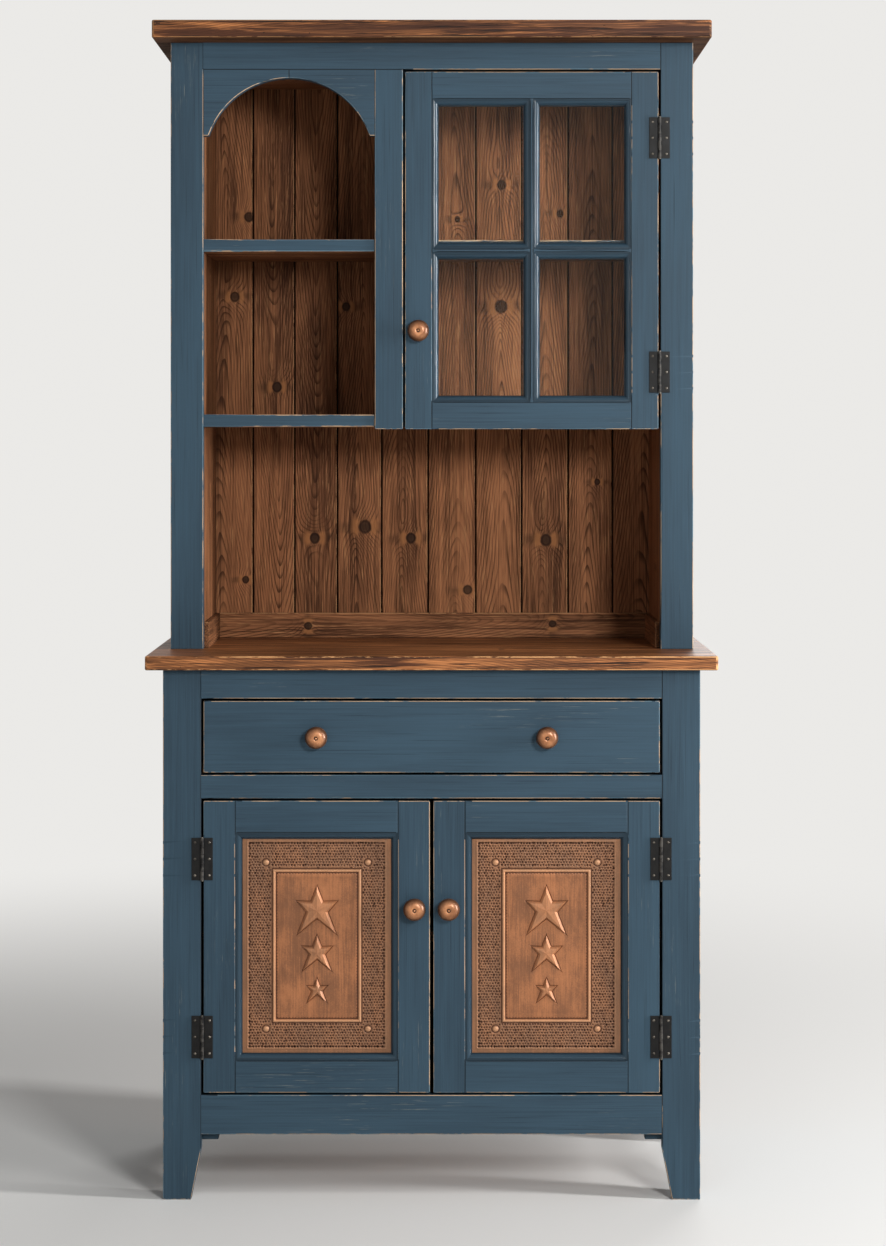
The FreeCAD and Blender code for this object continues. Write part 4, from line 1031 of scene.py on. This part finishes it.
def sheet_heights(xs, zs, half_x, half_z, chance):
    """Embossed heights over the grid of a sheet, without its field."""
    x, z = np.meshgrid(xs, zs, indexing="ij")
    out = np.maximum(np.abs(x) - BEAD_X, np.abs(z) - BEAD_Z)
    height = rounded(out, BEAD_R, BEAD_H)
    height -= GUTTER * bell(np.abs(out) - BEAD_R - GUTTER_W * GUTTER_NEAR, GUTTER_W)
    from_boss = np.hypot(np.abs(x) - BOSS_X, np.abs(z) - BOSS_Z)
    height += rounded(from_boss, BOSS_R, BOSS_H) - GUTTER * bell(from_boss - BOSS_RING, GUTTER_W)
    left, right, bottom, top = MARGINS
    rim_x = np.minimum(x + half_x - left, half_x - right - x)
    rim_z = np.minimum(z + half_z - bottom, half_z - top - z)
    height += RIDGE_H * bell(np.minimum(rim_x, rim_z) + RIDGE_OUT, RIDGE_W)
    for px, pz, radius, rise in hammering(chance, half_x, half_z):
        press(height, xs, zs, px, pz, radius, rise)
    for px, pz in tool_marks():
        press(height, xs, zs, px, pz, TOOL_R, -TOOL_DEPTH)
    height[(np.abs(x) > half_x) | (np.abs(z) > half_z)] = 0
    return height


def star_ring(star, inset):
    """Outline of a star, drawn in by an inset."""
    half_w, mid = star
    size = half_w - inset / STAR_SIDE
    half = [(u * size, v * size) for u, v in STAR_HALF]
    around = half + [(-u, v) for u, v in reversed(half[1:-1])]
    return [(u, mid + v) for u, v in around]


def inside(ring, x, z):
    """Whether a point lies within a closed outline."""
    crossings = 0
    for (x0, z0), (x1, z1) in zip(ring, ring[1:] + ring[:1]):
        if (z0 > z) != (z1 > z) and x < x0 + (x1 - x0) * (z - z0) / (z1 - z0):
            crossings += 1
    return crossings % 2 == 1


class Sheet:
    """A copper sheet as it is drawn: vertices at (x, z, height) about its middle, in millimetres."""

    def __init__(self, *middle):
        self.bm = bmesh.new()
        self.relief = self.bm.verts.layers.float.new("relief")
        self.patina = self.bm.verts.layers.float.new("patina")
        self.middle = middle

    def vertex(self, x, z, height, relief):
        middle_x, front_y, middle_z = self.middle
        made = self.bm.verts.new((middle_x + x * MM, front_y - height * MM, middle_z + z * MM))
        made[self.relief] = relief
        made[self.patina] = float(max(abs(x) - BEAD_X, abs(z) - BEAD_Z) > 0)
        return made

    def face(self, corners, crisp=False):
        made = self.bm.faces.new(corners)
        made.smooth = True
        for edge in made.edges if crisp else ():
            edge.smooth = False

    def band(self, last, ring):
        """Crisp faces between two closed rows of vertices."""
        for i in range(len(ring)):
            j = (i + 1) % len(ring)
            self.face([last[i], last[j], ring[j], ring[i]], crisp=True)


def add_star(sheet, star, rim):
    """Builds a star up from its rim in the field: groove, steep side, low peak."""
    half_w, mid = star
    last = rim
    for inset, height, relief in STAR_STEPS:
        ring = [sheet.vertex(x, z, height, relief) for x, z in star_ring(star, inset)]
        sheet.band(last, ring)
        last = ring
    top = sheet.vertex(0, mid, STAR_STEPS[-1][1] + half_w * STAR_PEAK, PEAK_RELIEF)
    for i in range(len(last)):
        sheet.face([last[i], last[(i + 1) % len(last)], top], crisp=True)


def add_field(sheet, border, chance):
    """Fills the middle of the sheet, inside its border's vertices, round the stars."""
    places = [(x, z) for x, z, _ in border]
    vertices = [vertex for _, _, vertex in border]
    edges = [(i, (i + 1) % len(places)) for i in range(len(places))]
    rims = []
    for star in STARS:
        ring = star_ring(star, -STAR_GROOVE_W)
        start = len(places)
        rims.append((ring, range(start, start + len(ring))))
        edges += [(start + i, start + (i + 1) % len(ring)) for i in range(len(ring))]
        places += ring
        vertices += [sheet.vertex(x, z, 0.0, FIELD_EDGE_RELIEF) for x, z in ring]
    clear = [star_ring(star, -STAR_CLEAR) for star in STARS]
    for x in np.arange(FIELD_PITCH - FIELD_X, FIELD_X - FIELD_PITCH / 2, FIELD_PITCH):
        for z in np.arange(FIELD_PITCH - FIELD_Z, FIELD_Z - FIELD_PITCH / 2, FIELD_PITCH):
            if any(inside(ring, x, z) for ring in clear):
                continue
            from_bead = min(FIELD_X - abs(x), FIELD_Z - abs(z)) / FIELD_DARKENING_W
            darkening = FIELD_DARKENING * max(0.0, 1 - from_bead) + chance.uniform(-FIELD_SPOTS, FIELD_SPOTS)
            places.append((x, z))
            vertices.append(sheet.vertex(x, z, chance.uniform(-FIELD_WAVE, FIELD_WAVE), -darkening))
    _, _, faces, sources, _, _ = delaunay_2d_cdt([Vector(p) for p in places], edges, [], 0, 1e-5)
    for face in faces:
        own = [sources[i][0] for i in face]
        x = sum(places[i][0] for i in own) / 3
        z = sum(places[i][1] for i in own) / 3
        if not any(inside(ring, x, z) for ring, _ in rims):
            sheet.face([vertices[i] for i in own])
    for star, (_, numbers) in zip(STARS, rims):
        add_star(sheet, star, [vertices[i] for i in numbers])


def border_grid(sheet, xs, zs, height):
    """Vertices, by their numbers in the grid, and faces of the sheet outside its field."""
    grid = {}
    for i, x in enumerate(xs):
        for j, z in enumerate(zs):
            if abs(x) < FIELD_X - SAME_LINE and abs(z) < FIELD_Z - SAME_LINE:
                continue
            h = float(height[i, j])
            relief = LAND_RELIEF + h / (RUBBED_H if h > 0 else DARK_DEPTH)
            grid[i, j] = sheet.vertex(x, z, h, relief)
    for i in range(len(xs) - 1):
        for j in range(len(zs) - 1):
            if abs(xs[i] + xs[i + 1]) / 2 > FIELD_X or abs(zs[j] + zs[j + 1]) / 2 > FIELD_Z:
                sheet.face([grid[i, j], grid[i + 1, j], grid[i + 1, j + 1], grid[i, j + 1]])
    return grid


def round_trip(columns, rows):
    """Grid numbers round a rectangle, once."""
    first, last = [(i, rows[0]) for i in columns], [(i, rows[-1]) for i in reversed(columns)]
    up = [(columns[-1], j) for j in rows[1:-1]]
    down = [(columns[0], j) for j in reversed(rows[1:-1])]
    return first + up + last + down


def copper_mesh(name):
    """Embossed sheet in the place of a CAD panel: hammered border, bead, bosses, field and stars."""
    low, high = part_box(name)
    chance = random.Random(SEED)
    full_x, full_z = (high.x - low.x) / 2 / MM, (high.z - low.z) / 2 / MM
    half_x, half_z = full_x - SHEET_LAP, full_z - SHEET_LAP
    sheet = Sheet((low.x + high.x) / 2, high.y - SHEET_T * MM, (low.z + high.z) / 2)
    xs, zs = grid_lines(BEAD_X, half_x, full_x), grid_lines(BEAD_Z, half_z, full_z)
    grid = border_grid(sheet, xs, zs, sheet_heights(xs, zs, half_x, half_z, chance))
    columns = [i for i in range(len(xs)) if abs(xs[i]) < FIELD_X + SAME_LINE]
    rows = [j for j in range(len(zs)) if abs(zs[j]) < FIELD_Z + SAME_LINE]
    add_field(sheet, [(xs[i], zs[j], grid[i, j]) for i, j in round_trip(columns, rows)], chance)
    edge = [grid[c] for c in round_trip(range(len(xs)), range(len(zs)))]
    back = [sheet.bm.verts.new((v.co.x, high.y, v.co.z)) for v in edge]
    sheet.band(edge, back)
    sheet.face(back)
    bmesh.ops.recalc_face_normals(sheet.bm, faces=sheet.bm.faces)
    return to_mesh(sheet.bm, name)


def panels():
    made = material(copper_sheet)
    for name in nodes_in("copper_sheet"):
        mesh = copper_mesh(name)
        mesh.materials.append(None)
        mark(mesh, name, [])
        stand_for(mesh, name, made, weigh_normals=False)


def panes():
    mesh = finished("glass_panes", METAL_EASE, SHORTEST_METAL)
    stand_for(mesh, "glass_panes", material(glass))


# ---- stage
SEEN = (0.83, 0.82, 0.80, 1.0)  # the background's colour
FADE = (1.1, 3.6)  # distances over which the floor turns into it
FLOOR_REACH = 30.0
WORLD_LIGHT = 0.12
LIT = (0.0, 0.0, 1.0)  # the place that every lamp points at
# Name, place, width, height and power of each lamp
LAMPS = (
    ("key", (3.5, -2.94, 3.6), 0.9, 0.9, 30),
    ("front", (1.75, -4.1, 2.25), 0.9, 0.9, 120),
    ("side", (4.75, -1.1, 1.6), 0.4, 2.4, 270),
    ("fill", (-1.7, -4.4, 1.9), 1.6, 1.6, 13),
    ("back", (1.6, 4.2, 2.6), 2.4, 2.4, 70),
)
CAMERA_PLACE = (0.0194, -4.777, 1.2997)
CAMERA_LENS = 77.76
CAMERA_SHIFT = -0.1499


def floor():
    """Pale floor that holds the shadow and fades into the background further off."""
    f = Finish("floor")
    f.set(Base_Color=(0.8, 0.79, 0.77, 1.0), Roughness=0.7, Specular_IOR_Level=0.2)
    place = f.node("NewGeometry").outputs["Position"]
    away = f.node("VectorMath", {0: place}, operation="LENGTH").outputs["Value"]
    glow = f.node("Emission", {"Color": SEEN, "Strength": 1.0}).outputs[0]
    f.mix_in(f.times(f.step(away, *FADE), f.sight()), glow, "Material Output")
    mesh = bpy.data.meshes.new("floor")
    corners = ((-1, -1), (1, -1), (1, 1), (-1, 1))
    mesh.from_pydata([(x * FLOOR_REACH, y * FLOOR_REACH, 0) for x, y in corners], [], [(0, 1, 2, 3)])
    mesh.materials.append(f.material)
    add_object("floor", mesh)


def lamps():
    for name, place, width, height, power in LAMPS:
        light = bpy.data.lights.new(name, "AREA")
        light.shape = "RECTANGLE"
        light.size = width
        light.size_y = height
        light.energy = power
        made = add_object(name, light)
        made.location = place
        made.rotation_euler = (Vector(LIT) - made.location).to_track_quat("-Z", "Y").to_euler()


def world():
    """Dim white light all round, with the background's colour for the rays that see it."""
    made = bpy.data.worlds.new("world")
    bpy.context.scene.world = made
    w = Nodes(made)
    light = w.tree.nodes["Background"].inputs
    w.put(light["Color"], (1, 1, 1, 1))
    w.put(light["Strength"], WORLD_LIGHT)
    w.mix_in(w.sight(), w.node("Background", {"Color": SEEN}).outputs[0], "World Output")


def camera():
    data = bpy.data.cameras.new("camera")
    data.lens = CAMERA_LENS
    data.shift_y = CAMERA_SHIFT
    made = add_object("camera", data)
    made.location = CAMERA_PLACE
    made.rotation_euler = (math.radians(90), 0, 0)
    bpy.context.scene.camera = made


bpy.context.scene.view_settings.view_transform = "Standard"
camera()
wooden_pieces()
door_stop()
fittings()
knobs()
panels()
panes()
floor()
lamps()
world()
